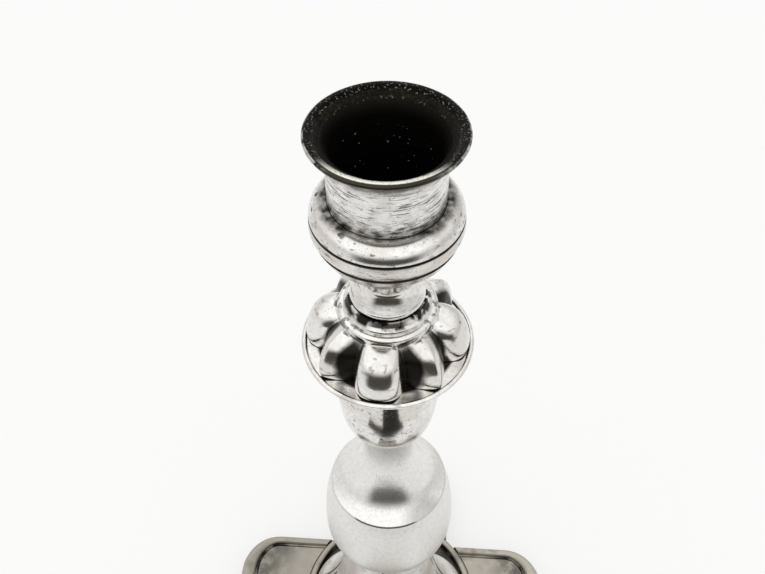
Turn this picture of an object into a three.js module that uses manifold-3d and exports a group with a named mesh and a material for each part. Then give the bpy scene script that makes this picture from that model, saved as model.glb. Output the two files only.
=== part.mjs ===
// A silver-plated candlestick, built as its maker built it: short turned and cast sections stacked
// on a threaded rod, with a socket unit that screws into the top of the stem.
// Millimetres, Z up. The table is Z = 0 and the stem stands on the Z axis.

import * as THREE from 'three';
import { mergeVertices } from 'three/addons/utils/BufferGeometryUtils.js';
import Module from 'manifold-3d';

const wasm = await Module();
wasm.setup();

// Fits shared by neighbouring pieces
const FIT = 0.3; // clearance round a shank, a spigot or a head
const LIFT_GAP = 0.3; // hairline under the socket unit
const GROOVE = 0.35; // edge break that leaves a fine line at a joint

// Candle socket
const CANDLE_BORE = 22; // diameter of the candle
const SOCKET_DEPTH = 25; // lip to socket floor
const SOCKET_WALL = 0.9;
const LIP_DIAMETER = 31.4;
const LIP_EDGE = 1; // height of the rolled edge
const FLARE_HEIGHT = 7.9; // height over which the tube opens outside
const MOUTH_DEPTH = 1.6; // depth of the dished mouth
const MOUTH_SPREAD = 1.15; // how far its inner edge stands out from the bore
const MOUTH_THROAT = 3; // taper from the mouth into the bore
const FLOOR_THICKNESS = 1.2;
const TUBE_SEAT = 1.3; // depth of the tube's seat in the bowl

// Collar, band, bowl and spool under the tube
const COLLAR_DIAMETER = 31.4;
const COLLAR_HEIGHT = 4;
const BAND_HEIGHT = 4.6;
const BAND_SWELL = 0.2; // how far the band bulges past the collar
const BOWL_RIM_DIAMETER = 30;
const BOWL_FOOT_DIAMETER = 15;
const BOWL_HEIGHT = 7.3;
const SPOOL_HEIGHT = 12.2;
const SPOOL_WAIST = 12.6; // diameter
const SPOOL_LIP = 16.8; // diameter
const SPOOL_LIP_HEIGHT = 1.6;

// Screw joint between the socket unit and the stem
const STUD_DIAMETER = 8;
const STUD_REACH = 12; // length that shows when the socket is off
const STUD_HEAD_DIAMETER = 14;
const STUD_HEAD_HEIGHT = 1.7;
const COUPLING_DIAMETER = 12;
const COUPLING_LENGTH = 22;
const COUPLING_HEAD_DIAMETER = 14.4;
const COUPLING_HEAD_HEIGHT = 1.4;
const COUPLING_END_GAP = 1.4; // free thread past the end of the stud and of the rod

// Knop: annulet, lobed dome, flange and bell
const ANNULET_WALL = 1.4; // metal round the head of the coupling
const ANNULET_SPREAD = 1; // how far its foot stands out past its top
const ANNULET_HEIGHT = 2.7;
const KNOP_DIAMETER = 37.8;
const KNOP_TOP = 22.5; // diameter of the plain ring inside the lobes
const KNOP_EDGE = 0.4; // round on the edge of that ring
const KNOP_HEIGHT = 12.3;
const KNOP_FLUTE = 4.6; // depth of the valleys between lobes
const KNOP_TURN = -4; // degrees from X to the first lobe
const LOBES = 8; // broad ones and narrow ridges in turn
const FLANGE_MARGIN = 1.05; // how far the flange stands out past the lobes
const FLANGE_HEIGHT = 1.2;
const FLANGE_BEAD = 1; // width of the bead on its edge
const FLANGE_BEAD_RISE = 0.3;
const BELL_DIAMETER = 26.6;
const BELL_FOOT = 13.2; // diameter
const BELL_HEIGHT = 34.1;
const BELL_WALL = 1.6;

// Bulb in two halves
const NECK_DIAMETER = 12.4;
const BULB_UPPER_HEIGHT = 27.5;
const BULB_LOWER_HEIGHT = 35.7;
const BULB_DIAMETER = 37.2;
const SEAM_DIAMETER = 32.1;
const BULB_FOOT = 23.2; // diameter
const BULB_WALL = 1.8;
const BULB_SOLE = 3; // thickness of its bottom

// Foot dome
const FOOT_RING_DIAMETER = 24.4;
const FOOT_RING_HEIGHT = 1.8;
const FOOT_DIAMETER = 52; // across opposite petals
const FOOT_TOP = 23.2; // diameter
const FOOT_HEIGHT = 44.9;
const FOOT_FLUTE = 6; // depth of the valleys between petals
const FOOT_WALL = 2;
const FOOT_CROWN = 3; // thickness at the top, where the rod draws it up
const PETALS = 4;
const PETAL_TURN = 0; // degrees from X to the first petal

// Four-lobed base
const BASE_HEIGHT = 5.5; // table to the flat panel
const BASE_WALL = 2.5;
const BASE_SEAT = 0.8; // depth of the round seat for the dome and the ridge
const BASE_LEDGE = 7.5; // ledge that carries the petals of the foot dome
const BASE_CHAMFER = 0.8;
const LOBE_REACH = 53.2; // axis to the end of a lobe
const LOBE_WIDTH = 39;
const LOBE_CORNER = 12.5; // radius
const BORDER_SIDE = 2.6; // width of the raised border along a lobe
const BORDER_END = 5; // and across its end
const BORDER_RISE = 1.4;
const BORDER_CHANNEL = 0.5; // depth of the channel inside it
const CHANNEL_WIDTH = 0.9;
const RIM_WIDTH = 4.5; // width of the foot that stands on the table
const RIDGE_GAP = 0.4; // channel between the petals and the ridge
const RIDGE_WIDTH = 2.8;
const RIDGE_HEIGHT = 2.5;

// Rod that draws the stack together
const ROD_DIAMETER = 6;
const ROD_TAIL = 1.6; // length below the nut
const WASHER_DIAMETER = 14;
const WASHER_HEIGHT = 1.5;
const NUT_FLATS = 10;
const NUT_HEIGHT = 5;

// How finely round pieces are cut
const ROUND_STEPS = 32;
const LOBE_STEPS = 8;
const CORNER_STEPS = 5;
const CURVE_STEPS = 8;

// Radii worked out from the diameters above
const boreRadius = CANDLE_BORE / 2;
const tubeRadius = boreRadius + SOCKET_WALL;
const tubeHole = tubeRadius + FIT;
const collarRadius = COLLAR_DIAMETER / 2;
const bowlRim = BOWL_RIM_DIAMETER / 2;
const bowlFoot = BOWL_FOOT_DIAMETER / 2;
const studRadius = STUD_DIAMETER / 2;
const studHole = studRadius + FIT;
const couplingHole = COUPLING_DIAMETER / 2 + FIT;
const rodRadius = ROD_DIAMETER / 2;
const rodHole = rodRadius + FIT;
const seamRadius = SEAM_DIAMETER / 2;
const footRadius = FOOT_DIAMETER / 2;
const ridgeRadius = footRadius + RIDGE_GAP + RIDGE_WIDTH;
const baseHole = footRadius - BASE_LEDGE;

// Heights of the joints, from the table up
const panel = BASE_HEIGHT;
const baseSeat = panel - BASE_SEAT;
const footTop = baseSeat + FOOT_HEIGHT;
const bulbFoot = footTop + FOOT_RING_HEIGHT;
const seam = bulbFoot + BULB_LOWER_HEIGHT;
const neckTop = seam + BULB_UPPER_HEIGHT;
const bellTop = neckTop + BELL_HEIGHT;
const flangeTop = bellTop + FLANGE_HEIGHT;
const knopTop = flangeTop + KNOP_HEIGHT;
const annuletTop = knopTop + ANNULET_HEIGHT;
const spoolFoot = annuletTop + LIFT_GAP;
const bowlSeat = spoolFoot + SPOOL_HEIGHT;
const bandSeat = bowlSeat + BOWL_HEIGHT;
const collarSeat = bandSeat + BAND_HEIGHT;
const tubeFoot = bandSeat - TUBE_SEAT;
const studEnd = spoolFoot - STUD_REACH;
const studHeadSeat = tubeFoot - FIT - STUD_HEAD_HEIGHT;
const rodTop = studEnd - 2 * COUPLING_END_GAP;
const washerTop = footTop - FOOT_CROWN;
const nutTop = washerTop - WASHER_HEIGHT;
const rodFoot = nutTop - NUT_HEIGHT - ROD_TAIL;

// Ring of a closed section, given as [radius, height] points that run up the outside
function ring(section, steps = ROUND_STEPS) {
  const points = section.map(([radius, height]) => new THREE.Vector2(radius, height));
  points.push(points[0].clone());
  return new THREE.LatheGeometry(points, steps).rotateX(Math.PI / 2);
}

// Solid turned piece, given as [radius, height] points up the outside, between two flat ends
function turned(outside, steps = ROUND_STEPS) {
  const bottom = outside[0][1];
  const top = outside[outside.length - 1][1];
  const points = [[0, bottom], ...outside, [0, top]].map(([radius, height]) => new THREE.Vector2(radius, height));
  return new THREE.LatheGeometry(points, steps).rotateX(Math.PI / 2);
}

// Smooth line through a few [radius, height] points
function smooth(points, steps = CURVE_STEPS) {
  const curve = new THREE.SplineCurve(points.map(([radius, height]) => new THREE.Vector2(radius, height)));
  return curve.getPoints(steps).map((point) => [point.x, point.y]);
}

// Quarter of an ellipse from [radius, low] up and in to [radius - reach, low + rise]
function quarterRound(radius, low, reach, rise, steps = CURVE_STEPS / 2) {
  return Array.from({ length: steps + 1 }, (_, step) => {
    const angle = (Math.PI / 2) * (step / steps);
    return [radius - reach * (1 - Math.cos(angle)), low + rise * Math.sin(angle)];
  });
}

// How far the side of a lobe has sunk, from 0 on its crest to 1 in the valley
const roundLobe = (across) => 1 - Math.sqrt(1 - across ** 2);
const narrowRidge = (across) => across;
const broadPetal = (across) => across ** 2;

// Ring whose outside swells into lobes, which take the shapes in turn: each point of the section
// also carries the depth of the valleys there
function lobed(section, lobes, turnDegrees, shapes, steps = LOBE_STEPS) {
  const geometry = ring(section, lobes * steps);
  const position = geometry.attributes.position;
  const perTurn = section.length + 1;
  const halfLobe = Math.PI / lobes;
  const turn = THREE.MathUtils.degToRad(turnDegrees);
  for (let index = 0; index < position.count; index += 1) {
    const depth = section[(index % perTurn) % section.length][2] ?? 0;
    const column = Math.floor(index / perTurn);
    const across = Math.abs((2 * (column % steps)) / steps - 1);
    const shape = shapes[Math.floor(column / steps) % shapes.length];
    const radius = Math.hypot(position.getX(index), position.getY(index));
    const angle = (2 * halfLobe * column) / steps - halfLobe + turn;
    const sunk = radius - depth * shape(across);
    position.setXY(index, sunk * Math.cos(angle), sunk * Math.sin(angle));
  }
  return geometry;
}

// Drawn tube with a flared lip and the bore that takes the candle
function socketTube() {
  const height = FLOOR_THICKNESS + SOCKET_DEPTH;
  const lip = LIP_DIAMETER / 2;
  const flare = new THREE.QuadraticBezierCurve(
    new THREE.Vector2(tubeRadius, height - FLARE_HEIGHT),
    new THREE.Vector2(tubeRadius, height - 2 * LIP_EDGE),
    new THREE.Vector2(lip - LIP_EDGE / 4, height - LIP_EDGE),
  );
  return ring([
    [tubeRadius, 0],
    ...flare.getPoints(CURVE_STEPS / 2).map((point) => [point.x, point.y]),
    [lip, height - LIP_EDGE / 2],
    [lip - LIP_EDGE / 2, height],
    [lip - LIP_EDGE, height],
    [boreRadius + MOUTH_SPREAD, height - MOUTH_DEPTH],
    [boreRadius, height - MOUTH_DEPTH - MOUTH_THROAT],
    [boreRadius, 0],
  ]);
}

// Disc that closes the bore and carries the candle
function socketFloor() {
  const radius = boreRadius - FIT;
  return turned([[radius, 0], [radius, FLOOR_THICKNESS]]);
}

// Quarter-round collar soldered round the foot of the tube
function socketCollar() {
  return ring([
    [tubeHole, 0],
    [collarRadius - GROOVE, 0],
    ...quarterRound(collarRadius, GROOVE, collarRadius - tubeHole, COLLAR_HEIGHT - GROOVE),
  ]);
}

// Narrow swelling band between two fine grooves
function socketBand() {
  return ring([
    [tubeHole, 0],
    [bowlRim - GROOVE, 0],
    [bowlRim, GROOVE],
    [collarRadius + BAND_SWELL, BAND_HEIGHT * 0.6],
    [collarRadius, BAND_HEIGHT - GROOVE],
    [collarRadius - GROOVE, BAND_HEIGHT],
    [tubeHole, BAND_HEIGHT],
  ]);
}

// Bowl under the band, recessed for the tube and for the head of the stud
function socketBowl() {
  const spread = bowlRim - bowlFoot;
  const headHole = STUD_HEAD_DIAMETER / 2 + FIT;
  return ring([
    [studHole, 0],
    ...smooth([
      [bowlFoot, 0],
      [bowlFoot + 0.36 * spread, 0.18 * BOWL_HEIGHT],
      [bowlFoot + 0.78 * spread, 0.53 * BOWL_HEIGHT],
      [bowlRim, BOWL_HEIGHT - GROOVE],
    ]),
    [bowlRim - GROOVE, BOWL_HEIGHT],
    [tubeHole, BOWL_HEIGHT],
    [tubeHole, tubeFoot - bowlSeat],
    [headHole, tubeFoot - bowlSeat],
    [headHole, studHeadSeat - bowlSeat],
    [studHole, studHeadSeat - bowlSeat],
  ]);
}

// Waisted neck with a lip at its foot
function neckSpool() {
  const lip = SPOOL_LIP / 2;
  const waist = SPOOL_WAIST / 2;
  const curveHeight = SPOOL_HEIGHT - SPOOL_LIP_HEIGHT;
  return ring([
    [studHole, 0],
    [lip - GROOVE, 0],
    [lip, GROOVE],
    ...smooth([
      [lip, SPOOL_LIP_HEIGHT],
      [waist + 0.36 * (lip - waist), SPOOL_LIP_HEIGHT + 0.22 * curveHeight],
      [waist, SPOOL_LIP_HEIGHT + 0.6 * curveHeight],
      [bowlFoot - GROOVE, SPOOL_HEIGHT],
    ]),
    [studHole, SPOOL_HEIGHT],
  ]);
}

// Threaded stud that holds the socket unit together and screws into the coupling
function socketStud() {
  const shank = studHeadSeat - studEnd;
  const head = STUD_HEAD_DIAMETER / 2;
  return turned([
    [studRadius - GROOVE, 0],
    [studRadius, GROOVE],
    [studRadius, shank],
    [head, shank],
    [head, shank + STUD_HEAD_HEIGHT],
  ]);
}

// Small hollow-faced ring on top of the knop, counterbored for the head of the coupling
function neckAnnulet() {
  const headHole = COUPLING_HEAD_DIAMETER / 2 + FIT;
  const top = headHole + ANNULET_WALL;
  const foot = top + ANNULET_SPREAD;
  const headSeat = ANNULET_HEIGHT - COUPLING_HEAD_HEIGHT;
  return ring([
    [couplingHole, 0],
    [foot, 0],
    [foot, 0.35 * ANNULET_HEIGHT],
    [top + 0.35 * (foot - top), 0.6 * ANNULET_HEIGHT],
    [top, 0.9 * ANNULET_HEIGHT],
    [top - GROOVE, ANNULET_HEIGHT],
    [headHole, ANNULET_HEIGHT],
    [headHole, headSeat],
    [couplingHole, headSeat],
  ]);
}

// Tapped bush at the top of the rod: the stud screws into it from above
function stemCoupling() {
  const outer = COUPLING_DIAMETER / 2;
  const head = COUPLING_HEAD_DIAMETER / 2;
  const step = studEnd - COUPLING_END_GAP - (annuletTop - COUPLING_LENGTH);
  return ring([
    [rodHole, 0],
    [outer, 0],
    [outer, COUPLING_LENGTH - COUPLING_HEAD_HEIGHT],
    [head, COUPLING_LENGTH - COUPLING_HEAD_HEIGHT],
    [head, COUPLING_LENGTH],
    [studHole, COUPLING_LENGTH],
    [studHole, step],
    [rodHole, step],
  ]);
}

// Cast dome of broad round lobes, with a narrow ridge between each two
function knopDome() {
  const foot = KNOP_DIAMETER / 2;
  const top = KNOP_TOP / 2;
  const spread = foot - top;
  const hollow = foot - KNOP_FLUTE - (foot - KNOP_FLUTE - couplingHole) * 0.4;
  return lobed([
    [hollow, 0],
    [foot, 0, KNOP_FLUTE],
    [foot, 0.13 * KNOP_HEIGHT, KNOP_FLUTE],
    [top + 0.93 * spread, 0.38 * KNOP_HEIGHT, KNOP_FLUTE],
    [top + 0.78 * spread, 0.6 * KNOP_HEIGHT, 0.95 * KNOP_FLUTE],
    [top + 0.65 * spread, 0.705 * KNOP_HEIGHT, 0.8 * KNOP_FLUTE],
    [top + 0.4 * spread, 0.8 * KNOP_HEIGHT, 0.55 * KNOP_FLUTE],
    [top + 0.16 * spread, 0.86 * KNOP_HEIGHT, 0.3 * KNOP_FLUTE],
    [top, 0.89 * KNOP_HEIGHT, 0.1 * KNOP_FLUTE],
    [top, KNOP_HEIGHT - KNOP_EDGE],
    [top - KNOP_EDGE, KNOP_HEIGHT],
    [couplingHole, KNOP_HEIGHT],
    [couplingHole, 0.7 * KNOP_HEIGHT],
  ], LOBES, KNOP_TURN, [roundLobe, narrowRidge]);
}

// Round flange under the lobes, with a fine bead on its edge
function knopFlange() {
  const edge = KNOP_DIAMETER / 2 + FLANGE_MARGIN;
  return ring([
    [couplingHole, 0],
    [edge - FLANGE_BEAD / 2, 0],
    [edge, FLANGE_HEIGHT / 2],
    [edge, FLANGE_HEIGHT],
    [edge - FLANGE_BEAD / 2, FLANGE_HEIGHT + FLANGE_BEAD_RISE],
    [edge - FLANGE_BEAD, FLANGE_HEIGHT],
    [couplingHole, FLANGE_HEIGHT],
  ]);
}

// Bell-shaped section under the flange, hollow above its sole
function knopBell() {
  const wide = BELL_DIAMETER / 2;
  const foot = BELL_FOOT / 2;
  const inner = wide - BELL_WALL;
  return ring([
    [rodHole, 0],
    ...smooth([
      [foot, 0],
      [foot + 0.54 * (wide - foot), 0.07 * BELL_HEIGHT],
      [foot + 0.88 * (wide - foot), 0.26 * BELL_HEIGHT],
      [wide, BELL_HEIGHT],
    ]),
    [inner, BELL_HEIGHT],
    [inner - BELL_WALL, 0.3 * BELL_HEIGHT],
    [rodHole, 0.15 * BELL_HEIGHT],
  ]);
}

// Upper half of the bulb, spun in one with its neck
function bulbUpper() {
  const neck = NECK_DIAMETER / 2;
  const spread = seamRadius - neck;
  const hollow = seamRadius - BULB_WALL;
  return ring([
    [hollow, 0],
    ...smooth([
      [seamRadius, 0],
      [neck + 0.79 * spread, 0.06 * BULB_UPPER_HEIGHT],
      [neck + 0.59 * spread, 0.13 * BULB_UPPER_HEIGHT],
      [neck + 0.39 * spread, 0.23 * BULB_UPPER_HEIGHT],
      [neck + 0.21 * spread, 0.36 * BULB_UPPER_HEIGHT],
      [neck, 0.75 * BULB_UPPER_HEIGHT],
      [BELL_FOOT / 2, BULB_UPPER_HEIGHT],
    ], 2 * CURVE_STEPS),
    [rodHole, BULB_UPPER_HEIGHT],
    [rodHole, 0.3 * BULB_UPPER_HEIGHT],
  ]);
}

// Lower half of the bulb, hollow above its sole
function bulbLower() {
  const foot = BULB_FOOT / 2;
  const wide = BULB_DIAMETER / 2;
  const hollow = seamRadius - BULB_WALL;
  return ring([
    [rodHole, 0],
    ...smooth([
      [foot, 0],
      [foot + 0.34 * (wide - foot), 0.1 * BULB_LOWER_HEIGHT],
      [foot + 0.67 * (wide - foot), 0.22 * BULB_LOWER_HEIGHT],
      [foot + 0.91 * (wide - foot), 0.33 * BULB_LOWER_HEIGHT],
      [wide, 0.46 * BULB_LOWER_HEIGHT],
      [seamRadius + 0.86 * (wide - seamRadius), 0.68 * BULB_LOWER_HEIGHT],
      [seamRadius + 0.53 * (wide - seamRadius), 0.86 * BULB_LOWER_HEIGHT],
      [seamRadius, BULB_LOWER_HEIGHT],
    ]),
    [hollow, BULB_LOWER_HEIGHT],
    [wide - BULB_WALL, 0.5 * BULB_LOWER_HEIGHT],
    [foot + 0.6 * (wide - foot) - BULB_WALL, 0.24 * BULB_LOWER_HEIGHT],
    [foot - BULB_WALL, BULB_SOLE],
    [rodHole, BULB_SOLE],
  ]);
}

// Plain ring between the bulb and the foot dome
function footRing() {
  const radius = FOOT_RING_DIAMETER / 2;
  return ring([
    [rodHole, 0],
    [radius - GROOVE, 0],
    [radius, GROOVE],
    [radius, FOOT_RING_HEIGHT - GROOVE],
    [radius - GROOVE, FOOT_RING_HEIGHT],
    [rodHole, FOOT_RING_HEIGHT],
  ]);
}

// Cast dome of four petals, hollow underneath and thick at the crown
function footDome() {
  const top = FOOT_TOP / 2;
  const spread = footRadius - top;
  const petals = [
    [footRadius, 0, 1],
    [footRadius, 0.085, 1],
    [top + 0.95 * spread, 0.163, 1],
    [top + 0.83 * spread, 0.238, 1],
    [top + 0.63 * spread, 0.31, 0.95],
    [top + 0.47 * spread, 0.4, 0.75],
    [top + 0.35 * spread, 0.497, 0.45],
    [top + 0.25 * spread, 0.608, 0.2],
    [top + 0.13 * spread, 0.764, 0],
    [top + 0.05 * spread, 0.898, 0],
    [top, 1, 0],
  ].map(([radius, height, valley]) => [radius, height * FOOT_HEIGHT, valley * FOOT_FLUTE]);
  const roof = FOOT_HEIGHT - FOOT_CROWN;
  const inside = petals
    .filter(([, height]) => height < roof)
    .map(([radius, height, valley]) => [radius - valley - FOOT_WALL, height])
    .reverse();
  return lobed([
    ...petals,
    [rodHole, FOOT_HEIGHT],
    [rodHole, roof],
    [inside[0][0], roof],
    ...inside,
  ], PETALS, PETAL_TURN, [broadPetal], 2 * LOBE_STEPS);
}

// Raised round ridge that frames the foot dome
function baseRidge() {
  return ring([
    [ridgeRadius - RIDGE_WIDTH, 0],
    [ridgeRadius, 0],
    [ridgeRadius, 0.4 * RIDGE_HEIGHT],
    ...quarterRound(ridgeRadius - 0.2 * RIDGE_WIDTH, 0.75 * RIDGE_HEIGHT, 0.4 * RIDGE_WIDTH, 0.25 * RIDGE_HEIGHT, 2),
    [ridgeRadius - RIDGE_WIDTH, 0.6 * RIDGE_HEIGHT],
  ]);
}

// One turn round the four lobes, drawn in by side and end, with the corners round the ridge
function lobeLoop(side, end, height) {
  const half = LOBE_WIDTH / 2 - side;
  const disc = ridgeRadius - side;
  const root = Math.sqrt(disc ** 2 - half ** 2);
  const cornerX = LOBE_REACH - LOBE_CORNER;
  const cornerY = LOBE_WIDTH / 2 - LOBE_CORNER;
  const lobe = [[root, -half]];
  for (const sign of [-1, 1]) {
    for (let step = 0; step <= CORNER_STEPS; step += 1) {
      const angle = (Math.PI / 2) * (step / CORNER_STEPS + (sign - 1) / 2);
      lobe.push([
        cornerX + (LOBE_CORNER - end) * Math.cos(angle),
        sign * cornerY + (LOBE_CORNER - side) * Math.sin(angle),
      ]);
    }
  }
  lobe.push([root, half], [disc * Math.SQRT1_2, disc * Math.SQRT1_2]);
  const loop = [];
  for (let quarter = 0; quarter < 4; quarter += 1) {
    const turn = (quarter * Math.PI) / 2;
    for (const [x, y] of lobe) {
      loop.push(new THREE.Vector3(x, y, height).applyAxisAngle(new THREE.Vector3(0, 0, 1), turn));
    }
  }
  return loop;
}

// Closed skin over a list of loops, each bridged to the next and the last to the first
function skin(loops) {
  const around = loops[0].length;
  const faces = [];
  loops.forEach((_, level) => {
    const next = (level + 1) % loops.length;
    for (let step = 0; step < around; step += 1) {
      const [a, b] = [level * around + step, level * around + ((step + 1) % around)];
      const [c, d] = [next * around + ((step + 1) % around), next * around + step];
      faces.push(a, b, c, a, c, d);
    }
  });
  const geometry = new THREE.BufferGeometry().setFromPoints(loops.flat());
  geometry.setIndex(faces);
  return geometry;
}

// What is left of one closed geometry when another is cut from it
function cut(geometry, tool) {
  const solid = (source) => {
    const bare = source.clone();
    bare.deleteAttribute('normal');
    bare.deleteAttribute('uv');
    const merged = mergeVertices(bare);
    return new wasm.Manifold(new wasm.Mesh({
      numProp: 3,
      vertProperties: new Float32Array(merged.attributes.position.array),
      triVerts: new Uint32Array(merged.index.array),
    }));
  };
  const mesh = solid(geometry).subtract(solid(tool)).getMesh();
  const result = new THREE.BufferGeometry();
  result.setAttribute('position', new THREE.BufferAttribute(mesh.vertProperties, mesh.numProp));
  result.setIndex(new THREE.BufferAttribute(mesh.triVerts, 1));
  return result;
}

// Four-lobed base: raised border, flat panels, hollow underside and a round seat for the foot dome
function basePlate() {
  const borderLine = (share, height) => lobeLoop(share * BORDER_SIDE, share * BORDER_END, height);
  const outline = lobeLoop(0, 0, panel);
  const hole = (height) => outline.map((point) => {
    const angle = Math.atan2(point.y, point.x);
    return new THREE.Vector3(Math.cos(angle), Math.sin(angle), 0).multiplyScalar(baseHole).setZ(height);
  });
  const plate = skin([
    lobeLoop(BASE_CHAMFER, BASE_CHAMFER, 0),
    lobeLoop(0, 0, BASE_CHAMFER),
    outline,
    borderLine(0.25, panel + 0.85 * BORDER_RISE),
    borderLine(0.5, panel + BORDER_RISE),
    borderLine(0.8, panel + 0.6 * BORDER_RISE),
    borderLine(1, panel - BORDER_CHANNEL),
    lobeLoop(BORDER_SIDE + CHANNEL_WIDTH, BORDER_END + CHANNEL_WIDTH, panel),
    hole(panel),
    hole(panel - BASE_WALL),
    lobeLoop(RIM_WIDTH, RIM_WIDTH, panel - BASE_WALL),
    lobeLoop(RIM_WIDTH, RIM_WIDTH, 0),
  ]);
  const seatDepth = BASE_SEAT + 2 * BORDER_RISE;
  const seatRadius = ridgeRadius + FIT;
  const seat = new THREE.CylinderGeometry(seatRadius, seatRadius, seatDepth, 2 * ROUND_STEPS);
  seat.rotateX(Math.PI / 2).translate(0, 0, baseSeat + seatDepth / 2);
  return cut(plate, seat);
}

// Threaded rod from the coupling to the nut
function tieRod() {
  return turned([[rodRadius, 0], [rodRadius, rodTop - rodFoot]], ROUND_STEPS / 2);
}

function rodWasher() {
  const radius = WASHER_DIAMETER / 2;
  return ring([[rodHole, 0], [radius, 0], [radius, WASHER_HEIGHT], [rodHole, WASHER_HEIGHT]]);
}

function rodNut() {
  const hexagon = new THREE.Shape();
  for (let corner = 0; corner < 6; corner += 1) {
    const angle = (corner * Math.PI) / 3;
    const radius = NUT_FLATS / Math.sqrt(3);
    const place = corner === 0 ? 'moveTo' : 'lineTo';
    hexagon[place](radius * Math.cos(angle), radius * Math.sin(angle));
  }
  hexagon.closePath();
  hexagon.holes.push(new THREE.Path().absarc(0, 0, rodHole, 0, 2 * Math.PI, true));
  return new THREE.ExtrudeGeometry(hexagon, { depth: NUT_HEIGHT, bevelEnabled: false, curveSegments: ROUND_STEPS / 4 });
}

// Finishes
const metal = (color, roughness) => new THREE.MeshStandardMaterial({ color, roughness, metalness: 1 });
const silver = metal(0xd8d6d0, 0.22);
const satinSilver = metal(0xd4d3ce, 0.45);
const tarnishedSilver = metal(0x8f8a80, 0.5);
const brass = metal(0xb08d4f, 0.4);
const steel = metal(0x8a8d90, 0.45);

// The candlestick, from the socket down
const candlestick = new THREE.Group();
candlestick.name = 'candlestick';

function place(name, geometry, height, material) {
  const mesh = new THREE.Mesh(geometry, material);
  mesh.name = name;
  mesh.position.z = height;
  candlestick.add(mesh);
}

place('socket_tube', socketTube(), tubeFoot, silver);
place('socket_floor', socketFloor(), tubeFoot, tarnishedSilver);
place('socket_collar', socketCollar(), collarSeat, silver);
place('socket_band', socketBand(), bandSeat, silver);
place('socket_bowl', socketBowl(), bowlSeat, silver);
place('neck_spool', neckSpool(), spoolFoot, silver);
place('socket_stud', socketStud(), studEnd, brass);
place('neck_annulet', neckAnnulet(), knopTop, silver);
place('stem_coupling', stemCoupling(), annuletTop - COUPLING_LENGTH, brass);
place('knop_dome', knopDome(), flangeTop, silver);
place('knop_flange', knopFlange(), bellTop, silver);
place('knop_bell', knopBell(), neckTop, silver);
place('bulb_upper', bulbUpper(), seam, satinSilver);
place('bulb_lower', bulbLower(), bulbFoot, satinSilver);
place('foot_ring', footRing(), footTop, silver);
place('foot_dome', footDome(), baseSeat, satinSilver);
place('base_ridge', baseRidge(), baseSeat, tarnishedSilver);
place('base_plate', basePlate(), 0, tarnishedSilver);
place('tie_rod', tieRod(), rodFoot, steel);
place('rod_washer', rodWasher(), nutTop, steel);
place('rod_nut', rodNut(), nutTop - NUT_HEIGHT, steel);

export default candlestick;
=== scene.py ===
import math

import bpy
from mathutils import Matrix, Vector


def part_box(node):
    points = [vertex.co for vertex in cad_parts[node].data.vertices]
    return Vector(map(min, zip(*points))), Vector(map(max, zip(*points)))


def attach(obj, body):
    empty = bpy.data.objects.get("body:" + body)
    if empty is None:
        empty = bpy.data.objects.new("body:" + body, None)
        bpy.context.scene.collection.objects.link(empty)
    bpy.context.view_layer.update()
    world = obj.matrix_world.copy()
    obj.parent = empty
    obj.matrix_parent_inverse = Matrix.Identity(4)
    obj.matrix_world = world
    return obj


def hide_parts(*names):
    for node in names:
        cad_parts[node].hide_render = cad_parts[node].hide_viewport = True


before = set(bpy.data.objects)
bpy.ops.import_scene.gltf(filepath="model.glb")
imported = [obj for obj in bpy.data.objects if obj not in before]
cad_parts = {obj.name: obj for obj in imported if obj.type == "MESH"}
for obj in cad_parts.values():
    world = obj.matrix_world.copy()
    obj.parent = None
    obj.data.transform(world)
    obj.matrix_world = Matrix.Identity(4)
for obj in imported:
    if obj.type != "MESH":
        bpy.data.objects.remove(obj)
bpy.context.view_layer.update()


# Base plate: a hollow casting of four lobes, silver-plated and worn to a dull grey-brown.
# A raised border follows its outline, and the channel inside the border holds black tarnish.
MM = 0.001
HAIR = 0.002 * MM
LOBE_WIDTH = 39.0
LOBE_CORNER = 12.5
BORDER_SIDE = 2.6
BORDER_END = 5.0
CHANNEL_WIDTH = 0.9
CHANNEL_DEPTH = 0.5
BASE_WALL = 2.5
BASE_CHAMFER = 0.8
RIM_WIDTH = 4.5
CORNER_STEPS = 10
BORDER_STEPS = 8
SMOOTH_ANGLE = 40
SEAT_GAP = 0.3
FOOT_RADIUS = 26.0
BASE_LEDGE = 7.5


def extent(node):
    """Foot, top and half width of a CAD node, in millimetres."""
    low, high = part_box(node)
    return low.z / MM, high.z / MM, high.x / MM


base_foot, border_top, lobe_reach = extent("base_plate")
ridge_foot, ridge_top, ridge_radius = extent("base_ridge")
panel = ridge_foot + 0.8
border_rise = border_top - panel
base_hole = FOOT_RADIUS - BASE_LEDGE


def lobe_outline(side, end, height):
    """One turn round the four lobes, drawn in by side and end, and round the ridge beside them."""
    half = LOBE_WIDTH / 2 - side
    disc = ridge_radius - side
    root = math.sqrt(disc**2 - half**2)
    corner_x = lobe_reach - LOBE_CORNER
    corner_y = LOBE_WIDTH / 2 - LOBE_CORNER
    lobe = [(root, -half)]
    for sign in (-1, 1):
        for step in range(CORNER_STEPS + 1):
            angle = math.pi / 2 * (step / CORNER_STEPS + (sign - 1) / 2)
            x = corner_x + (LOBE_CORNER - end) * math.cos(angle)
            y = sign * corner_y + (LOBE_CORNER - side) * math.sin(angle)
            lobe.append((x, y))
    lobe += [(root, half), (disc * math.sqrt(0.5), disc * math.sqrt(0.5))]
    turns = [(1, 0), (0, 1), (-1, 0), (0, -1)]
    return [(x * c - y * s, x * s + y * c, height) for c, s in turns for x, y in lobe]


def hole_outline(radius, height):
    """One turn round the hole in the base, point for point with the lobes."""
    angles = [math.atan2(y, x) for x, y, _ in lobe_outline(0, 0, height)]
    return [(radius * math.cos(a), radius * math.sin(a), height) for a in angles]


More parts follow.
